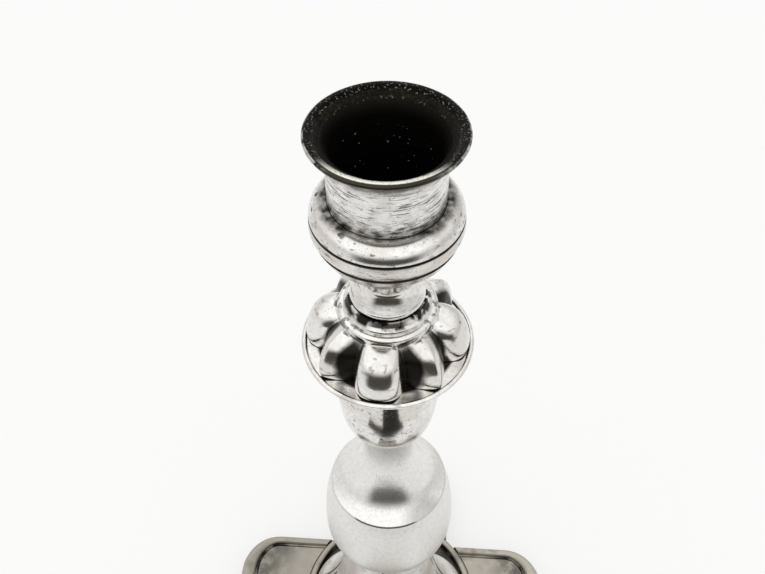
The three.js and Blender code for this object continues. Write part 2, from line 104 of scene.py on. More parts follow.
def start_circle(name, around, radius, height):
    """A bare circle round the axis, alone in the selection and open for editing."""
    bpy.ops.object.select_all(action="DESELECT")
    bpy.ops.mesh.primitive_circle_add(
        vertices=around, radius=radius * MM, location=(0, 0, height * MM)
    )
    piece = bpy.context.active_object
    piece.name = piece.data.name = name
    bpy.ops.object.transform_apply(location=True, rotation=False, scale=False)
    bpy.ops.object.mode_set(mode="EDIT")
    bpy.ops.mesh.select_all(action="SELECT")
    return piece


def close_mesh(piece, smooth_angle=SMOOTH_ANGLE):
    """Merges doubled points, turns the faces outwards and shades the piece."""
    bpy.ops.mesh.select_all(action="SELECT")
    bpy.ops.mesh.remove_doubles(threshold=HAIR)
    bpy.ops.mesh.normals_make_consistent(inside=False)
    bpy.ops.object.mode_set(mode="OBJECT")
    bpy.ops.object.shade_smooth_by_angle(angle=math.radians(smooth_angle))
    return piece


def border(share, height):
    """A turn of the raised border, at a share of its width."""
    return lobe_outline(share * BORDER_SIDE, share * BORDER_END, height)


def border_crown(share):
    """Height of the border's rounded top at a share of its width."""
    return panel + border_rise * math.sin(math.pi * (0.12 + 0.86 * share)) ** 0.7


under = panel - BASE_WALL
inside_channel = (BORDER_SIDE + CHANNEL_WIDTH, BORDER_END + CHANNEL_WIDTH)
base_turns = [
    lobe_outline(BASE_CHAMFER, BASE_CHAMFER, base_foot),
    lobe_outline(0.3 * BASE_CHAMFER, 0.3 * BASE_CHAMFER, base_foot + 0.3 * BASE_CHAMFER),
    lobe_outline(0, 0, base_foot + BASE_CHAMFER),
    lobe_outline(0, 0, panel - 0.4),
    *[border(s / BORDER_STEPS, border_crown(s / BORDER_STEPS)) for s in range(1, BORDER_STEPS)],
    border(0.96, panel - 0.6 * CHANNEL_DEPTH),
    lobe_outline(BORDER_SIDE + 0.2, BORDER_END + 0.2, panel - CHANNEL_DEPTH),
    lobe_outline(BORDER_SIDE + 0.55, BORDER_END + 0.55, panel - 0.7 * CHANNEL_DEPTH),
    lobe_outline(*inside_channel, panel),
    hole_outline(base_hole, panel),
    hole_outline(base_hole, under),
    lobe_outline(RIM_WIDTH, RIM_WIDTH, under),
    lobe_outline(RIM_WIDTH, RIM_WIDTH, base_foot),
]
base_plate = start_circle("base_dress", len(base_turns[0]), lobe_reach, base_foot)
bpy.ops.object.mode_set(mode="OBJECT")
for vertex, place in zip(base_plate.data.vertices, base_turns[0]):
    vertex.co = [MM * value for value in place]
for turn_before, turn_after in zip(base_turns, base_turns[1:] + base_turns[:1]):
    bpy.ops.object.mode_set(mode="EDIT")
    bpy.ops.mesh.extrude_region_move()
    bpy.ops.object.mode_set(mode="OBJECT")
    placed = {tuple(round(v, 4) for v in old): new for old, new in zip(turn_before, turn_after)}
    for vertex in base_plate.data.vertices:
        if vertex.select:
            key = tuple(round(value / MM, 4) for value in vertex.co)
            near = min(placed, key=lambda old: sum((p - q) ** 2 for p, q in zip(old, key)))
            vertex.co = [MM * value for value in placed[near]]
bpy.ops.object.mode_set(mode="EDIT")
close_mesh(base_plate)

bpy.ops.object.select_all(action="DESELECT")
seat_height = 2 * border_rise + (panel - ridge_foot)
bpy.ops.mesh.primitive_cylinder_add(
    vertices=128,
    radius=(ridge_radius + SEAT_GAP) * MM,
    depth=seat_height * MM,
    location=(0, 0, (ridge_foot + seat_height / 2) * MM),
)
seat_cutter = bpy.context.active_object
seat = base_plate.modifiers.new("seat", "BOOLEAN")
seat.object = seat_cutter
seat.operation = "DIFFERENCE"
seat.solver = "EXACT"
bpy.context.view_layer.objects.active = base_plate
bpy.ops.object.modifier_apply(modifier=seat.name)
bpy.data.objects.remove(seat_cutter)
bpy.ops.object.select_all(action="DESELECT")
base_plate.select_set(True)
bpy.ops.object.shade_smooth_by_angle(angle=math.radians(SMOOTH_ANGLE))


def start_finish(name):
    """A new metal material, with its node tree and its shader."""
    material = bpy.data.materials.new(name)
    material.use_nodes = True
    metal = material.node_tree.nodes["Principled BSDF"]
    metal.inputs["Metallic"].default_value = 1.0
    return material, material.node_tree, metal


def add_node(tree, kind, values=(), **settings):
    """Adds a shader node; values pair a socket with a number, a colour or an output to link."""
    node = tree.nodes.new(kind)
    for name, setting in settings.items():
        setattr(node, name, setting)
    for socket, value in values:
        if isinstance(value, bpy.types.NodeSocket):
            tree.links.new(value, node.inputs[socket])
        else:
            node.inputs[socket].default_value = value
    return node


def reckon(tree, operation, first, second=0.0, third=0.0):
    """Result of one sum on two or three values."""
    return add_node(
        tree, "ShaderNodeMath", [(0, first), (1, second), (2, third)], operation=operation
    ).outputs[0]


def fade(tree, value, low, high):
    """Rises softly from 0 at low to 1 at high."""
    return add_node(
        tree,
        "ShaderNodeMapRange",
        [(0, value), (1, low), (2, high)],
        interpolation_type="SMOOTHSTEP",
    ).outputs[0]


def spot(tree):
    """Place on the piece: x, y and height in metres, then the distance from the axis."""
    place = add_node(tree, "ShaderNodeTexCoord").outputs["Object"]
    x, y, z = add_node(tree, "ShaderNodeSeparateXYZ", [(0, place)]).outputs
    squares = reckon(tree, "ADD", reckon(tree, "MULTIPLY", x, x), reckon(tree, "MULTIPLY", y, y))
    return x, y, z, reckon(tree, "SQRT", squares)


def grain(tree, stretch, detail=3.0, start=0.0):
    """Noise with so many grains to a metre along x, y and z."""
    place = add_node(tree, "ShaderNodeTexCoord").outputs["Object"]
    mapping = add_node(
        tree, "ShaderNodeMapping", [("Scale", stretch), ("Location", (start, start, start))]
    )
    tree.links.new(place, mapping.inputs["Vector"])
    return add_node(
        tree,
        "ShaderNodeTexNoise",
        [("Vector", mapping.outputs[0]), ("Scale", 1.0), ("Detail", detail)],
    ).outputs[0]


def blend_colour(tree, share, under_colour, over_colour):
    """Colour that goes from one to the other as share goes from 0 to 1."""
    return add_node(
        tree,
        "ShaderNodeMix",
        [(0, share), (6, under_colour), (7, over_colour)],
        data_type="RGBA",
    ).outputs[2]


def roughen(tree, metal, relief, depth):
    """Lets a relief of so many millimetres catch the light."""
    bump = add_node(
        tree, "ShaderNodeBump", [("Height", relief), ("Distance", depth * MM), ("Strength", 1.0)]
    )
    tree.links.new(bump.outputs[0], metal.inputs["Normal"])


DULL_GREY = (0.36, 0.345, 0.30, 1)
DULL_BROWN = (0.39, 0.355, 0.305, 1)
DULL_PALE = (0.50, 0.46, 0.40, 1)
DARK_BROWN_GREY = (0.25, 0.235, 0.20, 1)
TARNISH = (0.022, 0.02, 0.017, 1)


def dull_silver(name, black):
    """Worn grey-brown plate, painted paler towards the right and darker towards the left, with
    stains; black gives where tarnish sits.
    """
    material, tree, metal = start_finish(name)
    clouds = grain(tree, (70, 70, 70), 5)
    stains = fade(tree, grain(tree, (150, 150, 150), 6, 3.0), 0.5, 0.72)
    specks = fade(tree, grain(tree, (1500, 1500, 1500), 2, 7.0), 0.62, 0.74)
    colour = blend_colour(tree, fade(tree, clouds, 0.35, 0.65), DULL_GREY, DULL_BROWN)
    x, y, z, radius = spot(tree)
    # The plate is painted paler towards the right and darker towards the left.
    paler_towards_right = reckon(tree, "MULTIPLY", fade(tree, x, -10 * MM, 45 * MM), 0.55)
    colour = blend_colour(tree, paler_towards_right, colour, DULL_PALE)
    darker_towards_left = reckon(tree, "MULTIPLY", fade(tree, x, -10 * MM, -45 * MM), 0.3)
    colour = blend_colour(tree, darker_towards_left, colour, DARK_BROWN_GREY)
    colour = blend_colour(tree, reckon(tree, "MULTIPLY", stains, 0.75), colour, DARK_BROWN_GREY)
    colour = blend_colour(tree, reckon(tree, "MULTIPLY", specks, 0.35), colour, DARK_BROWN_GREY)
    black_share = black(tree)
    tree.links.new(blend_colour(tree, black_share, colour, TARNISH), metal.inputs["Base Color"])
    tree.links.new(reckon(tree, "MULTIPLY_ADD", stains, 0.18, 0.40), metal.inputs["Roughness"])
    roughen(tree, metal, grain(tree, (1800, 1800, 900), 4, 5.0), 0.03)
    return material


def channel_tarnish(tree):
    """Black in the channel inside the border and on the ledge that carries the foot dome."""
    x, y, z, radius = spot(tree)
    low = fade(tree, z, (panel + 0.35) * MM, (panel - 0.25) * MM)
    above = fade(tree, z, (panel - 1.5) * MM, (panel - 0.6) * MM)
    end = fade(tree, radius, 0.6 * lobe_reach * MM, 0.86 * lobe_reach * MM)
    patch = fade(tree, grain(tree, (220, 220, 220), 4, 9.0), 0.3, 0.6)
    share = reckon(tree, "MULTIPLY", low, above)
    share = reckon(tree, "MULTIPLY", share, reckon(tree, "MAXIMUM", end, 0.15))
    share = reckon(tree, "MULTIPLY", share, patch)
    ledge = fade(tree, radius, (FOOT_RADIUS + 1.0) * MM, (FOOT_RADIUS + 0.5) * MM)
    return reckon(tree, "MAXIMUM", share, reckon(tree, "MULTIPLY", ledge, above))


base_plate.data.materials.clear()
base_plate.data.materials.append(dull_silver("dull_base", channel_tarnish))
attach(base_plate, "stem")
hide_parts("base_plate")


# Ridge: a round raised bead, turned apart and soldered into its seat on the base.
# It frames the foot dome, and the narrow channel inside it is black with old tarnish.
ROUND = 128


def turn(name, outline, closed=True, around=ROUND, smooth_angle=SMOOTH_ANGLE):
    """A turned piece: a circle pulled up loop by loop along its (radius, height) outline."""
    radius, height = outline[0]
    piece = start_circle(name, around, radius, height)
    for next_radius, next_height in outline[1:] + (outline[:1] if closed else []):
        rise = (0, 0, (next_height - height) * MM)
        bpy.ops.mesh.extrude_region_move(TRANSFORM_OT_translate={"value": rise})
        grow = next_radius / radius
        bpy.ops.transform.resize(
            value=(grow, grow, 1), center_override=(0, 0, next_height * MM)
        )
        radius, height = next_radius, next_height
    if not closed:
        bpy.ops.mesh.select_all(action="SELECT")
        bpy.ops.mesh.fill_holes(sides=0)
    return close_mesh(piece, smooth_angle)


def curve(points, steps=6):
    """Smooth line through a few (radius, height) points, with so many steps to each stretch."""
    ends = [points[0], *points, points[-1]]
    line = []
    for before, start, stop, after in zip(ends, ends[1:], ends[2:], ends[3:]):
        for step in range(steps):
            t = step / steps
            line.append(
                tuple(
                    0.5
                    * (
                        2 * q
                        + (r - p) * t
                        + (2 * p - 5 * q + 4 * r - s) * t**2
                        + (3 * q - p - 3 * r + s) * t**3
                    )
                    for p, q, r, s in zip(before, start, stop, after)
                )
            )
    return [*line, tuple(points[-1])]


def arc(middle, reach, rise, first, last, steps=8):
    """Part of an ellipse about a (radius, height) middle, between two angles in degrees."""
    angles = [math.radians(first + (last - first) * step / steps) for step in range(steps + 1)]
    return [(middle[0] + reach * math.cos(a), middle[1] + rise * math.sin(a)) for a in angles]


RIDGE_WIDTH = 2.8
ridge_inside = ridge_radius - RIDGE_WIDTH
ridge_crown = (ridge_radius - 0.48 * RIDGE_WIDTH, ridge_top - 1.0)
ridge = turn(
    "ridge_dress",
    [
        (ridge_inside, ridge_foot),
        (ridge_radius, ridge_foot),
        (ridge_radius, ridge_foot + 1.0),
        *arc(ridge_crown, 0.42 * RIDGE_WIDTH, 1.0, 0, 180, 10),
        (ridge_inside, ridge_foot + 1.2),
    ],
)


def ridge_tarnish(tree):
    """Black on the inner wall of the ridge, worn off its crest."""
    x, y, z, radius = spot(tree)
    inner = fade(tree, radius, (ridge_inside + 0.9) * MM, (ridge_inside + 0.2) * MM)
    patch = fade(tree, grain(tree, (260, 260, 260), 4, 2.0), 0.25, 0.5)
    return reckon(tree, "MULTIPLY", inner, patch)


ridge.data.materials.append(dull_silver("dull_ridge", ridge_tarnish))
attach(ridge, "stem")
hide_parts("base_ridge")


# Foot dome: four broad cast petals that rise from the base and close under the bulb.
# It is hollow, silver-plated with a pinkish cast, and a fine rib runs down each petal.
PETALS = 4
PETAL_STEPS = 80
PETAL_TURN = 0
PETAL_VALLEY = 6.0
RIB_GROOVE = 1.0
GROOVE_HALF = 0.6
GROOVE_DEPTH = 0.25
FOOT_TOP = 11.6
FOOT_WALL = 2.0
FOOT_CROWN = 3.0
ROD_HOLE = 3.3
ON_LINE = 0.01
foot_low, foot_high, _ = extent("foot_dome")
foot_height = foot_high - foot_low


def press_valleys(piece, outline, depths, lobes, first_crest, shapes, heart=None):
    """Presses valleys between lobes into a turned piece, level or towards a heart in its section.

    Neighbouring lobes take the shapes in turn: each is how deep a lobe's side has sunk and how
    black it is, from its crest to the valley. The attribute hollow keeps how black each point is.
    """
    pitch = 2 * math.pi / lobes
    hollow = piece.data.attributes.new("hollow", "FLOAT", "POINT")
    for vertex in piece.data.vertices:
        radius, height = math.hypot(vertex.co.x, vertex.co.y) / MM, vertex.co.z / MM
        gaps = [(r - radius) ** 2 + (h - height) ** 2 for r, h in outline]
        nearest = gaps.index(min(gaps))
        if gaps[nearest] > ON_LINE**2:
            continue
        angle = math.atan2(vertex.co.y, vertex.co.x)
        turns = (angle - math.radians(first_crest)) / pitch
        across = 2 * abs(turns - round(turns))
        sunk_share, black_share = shapes[round(turns) % len(shapes)]
        hollow.data[vertex.index].value = black_share(across) * depths[nearest] / max(depths)
        sunk = depths[nearest] * sunk_share(across)
        lean = math.atan2(height - heart[1], radius - heart[0]) if heart else 0.0
        sunk_radius = (radius - sunk * math.cos(lean)) * MM
        vertex.co = (
            sunk_radius * math.cos(angle),
            sunk_radius * math.sin(angle),
            (height - sunk * math.sin(lean)) * MM,
        )


def petal_sunk(across):
    """Depth from the crest of a broad petal to the valley, as a share."""
    return across**2


def petal_black(across):
    """Black only at the bottom of the valley."""
    return across**6


petal_points = [
    (FOOT_RADIUS, 0, 0.9),
    (FOOT_RADIUS, 0.085, 1),
    (25.3, 0.163, 1),
    (23.55, 0.238, 1),
    (20.7, 0.31, 0.95),
    (18.4, 0.4, 0.75),
    (16.6, 0.497, 0.45),
    (15.2, 0.608, 0.2),
    (13.6, 0.764, 0),
    (12.3, 0.898, 0),
    (FOOT_TOP, 1, 0),
]
petal_line = curve([(r, foot_low + h * foot_height) for r, h, _ in petal_points])
petal_depths = [PETAL_VALLEY * d for d, _ in curve([(d, 0) for _, _, d in petal_points])]
foot_roof = foot_high - FOOT_CROWN
foot_inside = [
    (r - d - FOOT_WALL, h) for (r, h), d in zip(petal_line, petal_depths) if h < foot_roof
]
foot_dome = turn(
    "foot_dome_dress",
    [
        *petal_line,
        (ROD_HOLE, foot_high),
        (ROD_HOLE, foot_roof),
        (foot_inside[-1][0], foot_roof),
        *reversed(foot_inside),
    ],
    around=PETALS * PETAL_STEPS,
)
petal_shapes = [(petal_sunk, petal_black)]
press_valleys(foot_dome, petal_line, petal_depths, PETALS, PETAL_TURN, petal_shapes)
for vertex in foot_dome.data.vertices:
    radius = math.hypot(vertex.co.x, vertex.co.y) / MM
    beside = abs(min(abs(vertex.co.x), abs(vertex.co.y)) / MM - RIB_GROOVE) / GROOVE_HALF
    level = vertex.co.z / MM
    crest_radius = min(petal_line, key=lambda point: abs(point[1] - level))[0]
    if beside < 1 and radius > crest_radius - FOOT_WALL / 2:
        grow = 1 - GROOVE_DEPTH * (1 - beside**2) / radius
        vertex.co.x *= grow
        vertex.co.y *= grow

CLEAN_SILVER = (0.83, 0.825, 0.80, 1)
CLOUDED_SILVER = (0.69, 0.675, 0.645, 1)
WARM_SILVER = (0.64, 0.595, 0.555, 1)
SCRATCH = (0.15, 0.135, 0.12, 1)


def silver(name, polish, brush, scratched, warmth, black, relief=0.012, cloudy=0.8):
    """Silver plate: polish is its roughness, brush how its marks run, in marks to a metre.

    Scratched, warmth and cloudy are shares from 0 to 1, black gives where old tarnish and, on some
    pieces, painted shade sit, and relief is the depth of the marks in millimetres.
    """
    material, tree, metal = start_finish(name)
    clouds = fade(tree, grain(tree, (900, 900, 900), 5, 1.5), 0.62, 0.36)
    clouds = reckon(tree, "MULTIPLY", clouds, cloudy)
    colour = blend_colour(tree, clouds, CLEAN_SILVER, CLOUDED_SILVER)
    warm = fade(tree, grain(tree, (110, 110, 110), 4, 1.0), 0.38, 0.6)
    colour = blend_colour(tree, reckon(tree, "MULTIPLY", warm, warmth), colour, WARM_SILVER)
    marks = grain(tree, brush, 2, 4.0)
    patches = fade(tree, grain(tree, (180, 180, 180), 3, 8.0), 0.36, 0.62)
    lines = reckon(tree, "MULTIPLY", fade(tree, marks, 0.6, 0.65), patches)
    pits = fade(tree, grain(tree, (2300, 2300, 2300), 1, 6.0), 0.67, 0.72)
    lines = reckon(tree, "MAXIMUM", lines, reckon(tree, "MULTIPLY", pits, 0.7))
    lines = reckon(tree, "MULTIPLY", lines, scratched)
    colour = blend_colour(tree, lines, colour, SCRATCH)
    black_share = black(tree)
    tree.links.new(blend_colour(tree, black_share, colour, TARNISH), metal.inputs["Base Color"])
    worn = reckon(tree, "ADD", lines, black_share)
    tree.links.new(reckon(tree, "MULTIPLY_ADD", worn, 0.22, polish), metal.inputs["Roughness"])
    skin = reckon(tree, "MULTIPLY_ADD", grain(tree, (1300, 1300, 1300), 3, 5.5), 0.7, marks)
    roughen(tree, metal, skin, relief)
    return material


def valley_tarnish(tree):
    """Black beside the ribs, low in the valleys and where the petals meet the base."""
    x, y, z, radius = spot(tree)
    height = reckon(tree, "SUBTRACT", z, foot_low * MM)
    hollow = add_node(tree, "ShaderNodeAttribute", attribute_name="hollow").outputs["Fac"]
    deep = fade(tree, hollow, 0.3, 0.7)
    edge = fade(tree, height, 1.8 * MM, 0.9 * MM)
    black = reckon(tree, "MAXIMUM", deep, edge)
    aside = reckon(tree, "MINIMUM", reckon(tree, "ABSOLUTE", x), reckon(tree, "ABSOLUTE", y))
    groove = reckon(tree, "ABSOLUTE", reckon(tree, "SUBTRACT", aside, RIB_GROOVE * MM))
    groove = fade(tree, groove, GROOVE_HALF * MM, 0.4 * GROOVE_HALF * MM)
    worn = fade(tree, grain(tree, (240, 240, 120), 4, 6.0), 0.36, 0.52)
    groove = reckon(tree, "MULTIPLY", reckon(tree, "MULTIPLY", groove, worn), 0.8)
    return reckon(tree, "MAXIMUM", black, groove)


foot_dome.data.materials.append(
    silver("petal_silver", 0.46, (260, 260, 1400), 0.4, 0.7, valley_tarnish, cloudy=0.6)
)
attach(foot_dome, "stem")
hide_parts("foot_dome")


# Foot ring: a plain turned ring that seats the bulb on the foot dome.
# Its rounded edge is bright, with a fine dark line above and below it.
ring_low, ring_high, ring_radius = extent("foot_ring")
foot_ring = turn(
    "foot_ring_dress",
    [
        (ROD_HOLE, ring_low),
        (ring_radius - 0.4, ring_low),
        *arc((ring_radius - 0.4, (ring_low + ring_high) / 2), 0.4, 0.8, -80, 80),
        (ring_radius - 0.4, ring_high),
        (ROD_HOLE, ring_high),
    ],
)


def joint_lines(*heights, half=0.3):
    """Black tarnish in the fine joints at these heights, so many millimetres to either side."""

    def black(tree):
        x, y, z, radius = spot(tree)
        share = None
        for height in heights:
            off = reckon(tree, "ABSOLUTE", reckon(tree, "SUBTRACT", z, height * MM))
            line = fade(tree, off, half * MM, 0.45 * half * MM)
            share = line if share is None else reckon(tree, "MAXIMUM", share, line)
        return share

    return black


foot_ring.data.materials.append(
    silver("foot_ring_silver", 0.2, (200, 200, 1500), 0.5, 0.6, joint_lines(ring_low, ring_high))
)
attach(foot_ring, "stem")
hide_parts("foot_ring")


# Lower bulb: a spun shell with a frosted face of fine upright marks.
# It is soldered to the upper bulb along a seam below the shoulder, a thin tarnished line with
# painted shade making it black at the front.
BULB_WALL = 1.8
BULB_SOLE = 3.0
SEAM_SHADE_HALF_WIDTH = 7.5
BULB_FOOT = 11.6
SEAM_RADIUS = 16.05
bulb_low, seam, bulb_radius = extent("bulb_lower")
bulb_height = seam - bulb_low
bulb_spread = bulb_radius - BULB_FOOT
seam_spread = bulb_radius - SEAM_RADIUS
lower_line = curve(
    [
        (BULB_FOOT, bulb_low),
        (BULB_FOOT + 0.34 * bulb_spread, bulb_low + 0.1 * bulb_height),
        (BULB_FOOT + 0.67 * bulb_spread, bulb_low + 0.22 * bulb_height),
        (BULB_FOOT + 0.91 * bulb_spread, bulb_low + 0.33 * bulb_height),
        (bulb_radius, bulb_low + 0.46 * bulb_height),
        (SEAM_RADIUS + 0.86 * seam_spread, bulb_low + 0.68 * bulb_height),
        (SEAM_RADIUS + 0.53 * seam_spread, bulb_low + 0.86 * bulb_height),
        (SEAM_RADIUS, seam - 0.12),
    ]
)
bulb_lower = turn(
    "bulb_lower_dress",
    [
        (ROD_HOLE, bulb_low),
        *lower_line,
        (SEAM_RADIUS - 0.3, seam),
        (SEAM_RADIUS - BULB_WALL, seam),
        (bulb_radius - BULB_WALL, bulb_low + 0.5 * bulb_height),
        (BULB_FOOT + 0.6 * bulb_spread - BULB_WALL, bulb_low + 0.24 * bulb_height),
        (BULB_FOOT - BULB_WALL, bulb_low + BULB_SOLE),
        (ROD_HOLE, bulb_low + BULB_SOLE),
    ],
)


def seam_tarnish_and_shade(tree):
    """A thin grey tarnish line in the seam all round, with painted shade making it black at the
    front, and black in the foot joint.
    """
    x, y, z, radius = spot(tree)
    # Painted shade makes the seam line black at the front; elsewhere it stays a thin grey line of
    # tarnish.
    aside = fade(tree, reckon(tree, "ABSOLUTE", x), (SEAM_SHADE_HALF_WIDTH + 1.5) * MM, SEAM_SHADE_HALF_WIDTH * MM)
    front = reckon(tree, "MULTIPLY", aside, fade(tree, y, 0.0, -5 * MM))
    line = reckon(tree, "MULTIPLY", joint_lines(seam, half=0.42)(tree), 0.9)
    line = reckon(tree, "MULTIPLY", line, reckon(tree, "MULTIPLY_ADD", front, 0.7, 0.3))
    return reckon(tree, "MAXIMUM", line, joint_lines(bulb_low, half=0.4)(tree))


bulb_lower.data.materials.append(
    silver("frosted_silver", 0.42, (2600, 2600, 240), 0.14, 0.1, seam_tarnish_and_shade, 0.025, 0.4)
)
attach(bulb_lower, "stem")
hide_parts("bulb_lower")


# Upper bulb: spun in one with its neck, which flares from under the bell to the seam.
# Its satin face has fine scratches and a worn, brighter band above the seam.
NECK_RADIUS = 6.2
NECK_TOP_RADIUS = 6.6
_, neck_top, _ = extent("bulb_upper")
upper_line = curve(
    [
        (SEAM_RADIUS, seam + 0.2),
        (14.3, seam + 1.5),
        (12.3, seam + 3.3),
        (10.5, seam + 5.9),
        (8.6, seam + 9.9),
        (6.9, seam + 15.0),
        (NECK_RADIUS, seam + 20.5),
        (NECK_TOP_RADIUS, neck_top),
    ],
    8,
)
bulb_upper = turn(
    "bulb_upper_dress",
    [
        (SEAM_RADIUS - BULB_WALL, seam),
        (SEAM_RADIUS - 0.3, seam),
        *upper_line,
        (ROD_HOLE, neck_top),
        (ROD_HOLE, seam + 8.3),
    ],
)


def neck_shade_and_seam_tarnish(tree):
    """The seam's tarnish and shade, painted shade under the bell, and greyer on the right front of
    the bright band.
    """
    x, y, z, radius = spot(tree)
    # Painted shade under the bell darkens the top of the neck.
    neck = fade(tree, z, (seam + 13) * MM, (seam + 21) * MM)
    # The band just above the seam is made greyer on its right front.
    side = reckon(tree, "MULTIPLY", fade(tree, x, 3 * MM, 9 * MM), fade(tree, y, -5 * MM, -9 * MM))
    band = reckon(tree, "MULTIPLY", side, fade(tree, z, (seam + 4) * MM, (seam + 2) * MM))
    painted_shade_and_grey = reckon(tree, "MAXIMUM", neck, band)
    return reckon(tree, "MAXIMUM", seam_tarnish_and_shade(tree), reckon(tree, "MULTIPLY", painted_shade_and_grey, 0.34))


bulb_upper.data.materials.append(
    silver("satin_silver_bulb", 0.22, (2400, 2400, 700), 0.22, 0.15, neck_shade_and_seam_tarnish, 0.01, 0.4)
)
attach(bulb_upper, "stem")
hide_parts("bulb_upper")


# Bell: a hollow turned section with a round lower end, threaded on the rod over the neck.
# It is polished but finely pitted, with a pinkish cast.
BELL_WALL = 1.6
BELL_FOOT = 6.6
bell_low, bell_top, bell_radius = extent("knop_bell")
bell_height = bell_top - bell_low
bell_line = curve(
    [
        (BELL_FOOT, bell_low),
        (BELL_FOOT + 0.48 * (bell_radius - BELL_FOOT), bell_low + 0.075 * bell_height),
        (BELL_FOOT + 0.73 * (bell_radius - BELL_FOOT), bell_low + 0.2 * bell_height),
        (BELL_FOOT + 0.86 * (bell_radius - BELL_FOOT), bell_low + 0.38 * bell_height),
        (BELL_FOOT + 0.94 * (bell_radius - BELL_FOOT), bell_low + 0.6 * bell_height),
        (bell_radius, bell_top),
    ],
    12,
)
bell = turn(
    "bell_dress",
    [
        (ROD_HOLE, bell_low),
        *bell_line,
        (bell_radius - BELL_WALL, bell_top),
        (bell_radius - 2 * BELL_WALL, bell_low + 0.3 * bell_height),
        (ROD_HOLE, bell_low + 0.15 * bell_height),
    ],
)
bell.data.materials.append(
    silver("bell_silver", 0.14, (900, 900, 900), 0.8, 0.7, joint_lines(bell_top, half=0.5))
)
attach(bell, "stem")
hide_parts("knop_bell")


# Flange: a round plate under the lobes that falls to a bright bead on its edge.
# A dark joint runs under the bead, above a light lower lip.
COUPLING_HOLE = 6.3
FLANGE_BEAD = 1.0
flange_low, flange_crest, flange_radius = extent("knop_flange")
flange_top = flange_crest - 0.3
flange = turn(
    "flange_dress",
    [
        (COUPLING_HOLE, flange_low),
        (flange_radius - 1.2, flange_low),
        (flange_radius - 0.75, flange_low + 0.12),
        (flange_radius - 0.5, flange_low + 0.32),
        (flange_radius - 0.62, flange_low + 0.45),
        (flange_radius - 0.1, flange_low + 0.55),
        (flange_radius, flange_low + 0.65),
        (flange_radius, flange_crest - 0.5),
        (flange_radius - 0.04, flange_crest - 0.42),
        (flange_radius - 0.09, flange_crest - 0.36),
        (flange_radius - 0.42, flange_crest - 0.06),
        (flange_radius - 0.55, flange_crest),
        (flange_radius - 0.75, flange_crest),
        (flange_radius - FLANGE_BEAD, flange_crest - 0.2),
        (flange_radius - FLANGE_BEAD - 0.25, flange_top - 0.5),
        (flange_radius - FLANGE_BEAD - 0.5, flange_top - 0.55),
        (flange_radius - 3.0, flange_top - 0.1),
        (COUPLING_HOLE, flange_top - 0.1),
    ],
)


def flange_joint_and_painted_shadow(tree):
    """Black in the joint under the bead, and painted shadow on the plate between the lobes."""
    x, y, z, radius = spot(tree)
    # Painted shadow: the plate inside the lobes' foot is made black where it shows between them.
    between = fade(tree, radius, (flange_radius - 3.2) * MM, (flange_radius - 4.0) * MM)
    return reckon(tree, "MAXIMUM", between, joint_lines(flange_low + 0.42, half=0.16)(tree))


flange.data.materials.append(
    silver("flange_silver", 0.17, (200, 200, 1200), 0.4, 0.5, flange_joint_and_painted_shadow)
)
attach(flange, "stem")
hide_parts("knop_flange")


# Lobed knop: a cast dome of four broad lobes and four narrow ridges between them.
# They are polished bright; the valleys, which end in small hollows, are black, and the ridges'
# flanks are black with tarnish and painted dark reflection.
KNOP_LOBES = 8
KNOP_STEPS = 40
KNOP_TURN = -4
KNOP_VALLEY = 4.6
KNOP_RADIUS = 18.9
KNOP_RING = 12.3
_, knop_top, _ = extent("knop_dome")
knop_height = knop_top - flange_top


def lobe_valley(across):
    """Depth from crest to valley, as a share: a broad lobe with steep flanks."""
    return 0.3 * across**2 + 0.7 * across**4


def lobe_black(across):
    """Black only at the bottom of the valley."""
    return across**9


def ridge_valley(across):
    """Depth from crest to valley, as a share: a narrow ridge with flat flanks."""
    return (math.hypot(across, 0.06) - 0.06) / (math.hypot(1, 0.06) - 0.06)


def ridge_flank_tarnish_and_reflection(across):
    """Black over the flanks up to near the crest: tarnish where no polishing reaches, and painted
    dark reflection.
    """
    return min(1.5 * across, 1)


lobe_points = [
    (18.5, 0, 0.85),
    (KNOP_RADIUS, 0.13, 1),
    (18.6, 0.3, 1),
    (18.05, 0.45, 1),
    (17.2, 0.6, 0.95),
    (16.2, 0.705, 0.82),
    (14.95, 0.775, 0.68),
    (13.6, 0.828, 0.55),
    (12.5, 0.86, 0.48),
    (11.9, 0.868, 0.42),
    (11.6, 0.868, 0.3),
    (11.4, 0.895, 0.1),
    (11.25, 0.94, 0),
    (10.95, 0.975, 0),
    (10.4, 1, 0),
    (9.7, 1, 0),
]
lobe_line = curve([(r, flange_top + h * knop_height) for r, h, _ in lobe_points], 8)
lobe_depths = [KNOP_VALLEY * d for d, _ in curve([(d, 0) for _, _, d in lobe_points], 8)]
knop = turn(
    "knop_dress",
    [
        *lobe_line,
        (COUPLING_HOLE, knop_top),
        (COUPLING_HOLE, flange_top + 0.6 * knop_height),
        (KNOP_RADIUS - 8.5, flange_top),
    ],
    around=KNOP_LOBES * KNOP_STEPS,
)
# The ridges' flanks are painted black, partly as dark reflection.
lobe_shapes = [(lobe_valley, lobe_black), (ridge_valley, ridge_flank_tarnish_and_reflection)]
press_valleys(knop, lobe_line, lobe_depths, KNOP_LOBES, KNOP_TURN, lobe_shapes, (6, flange_top))


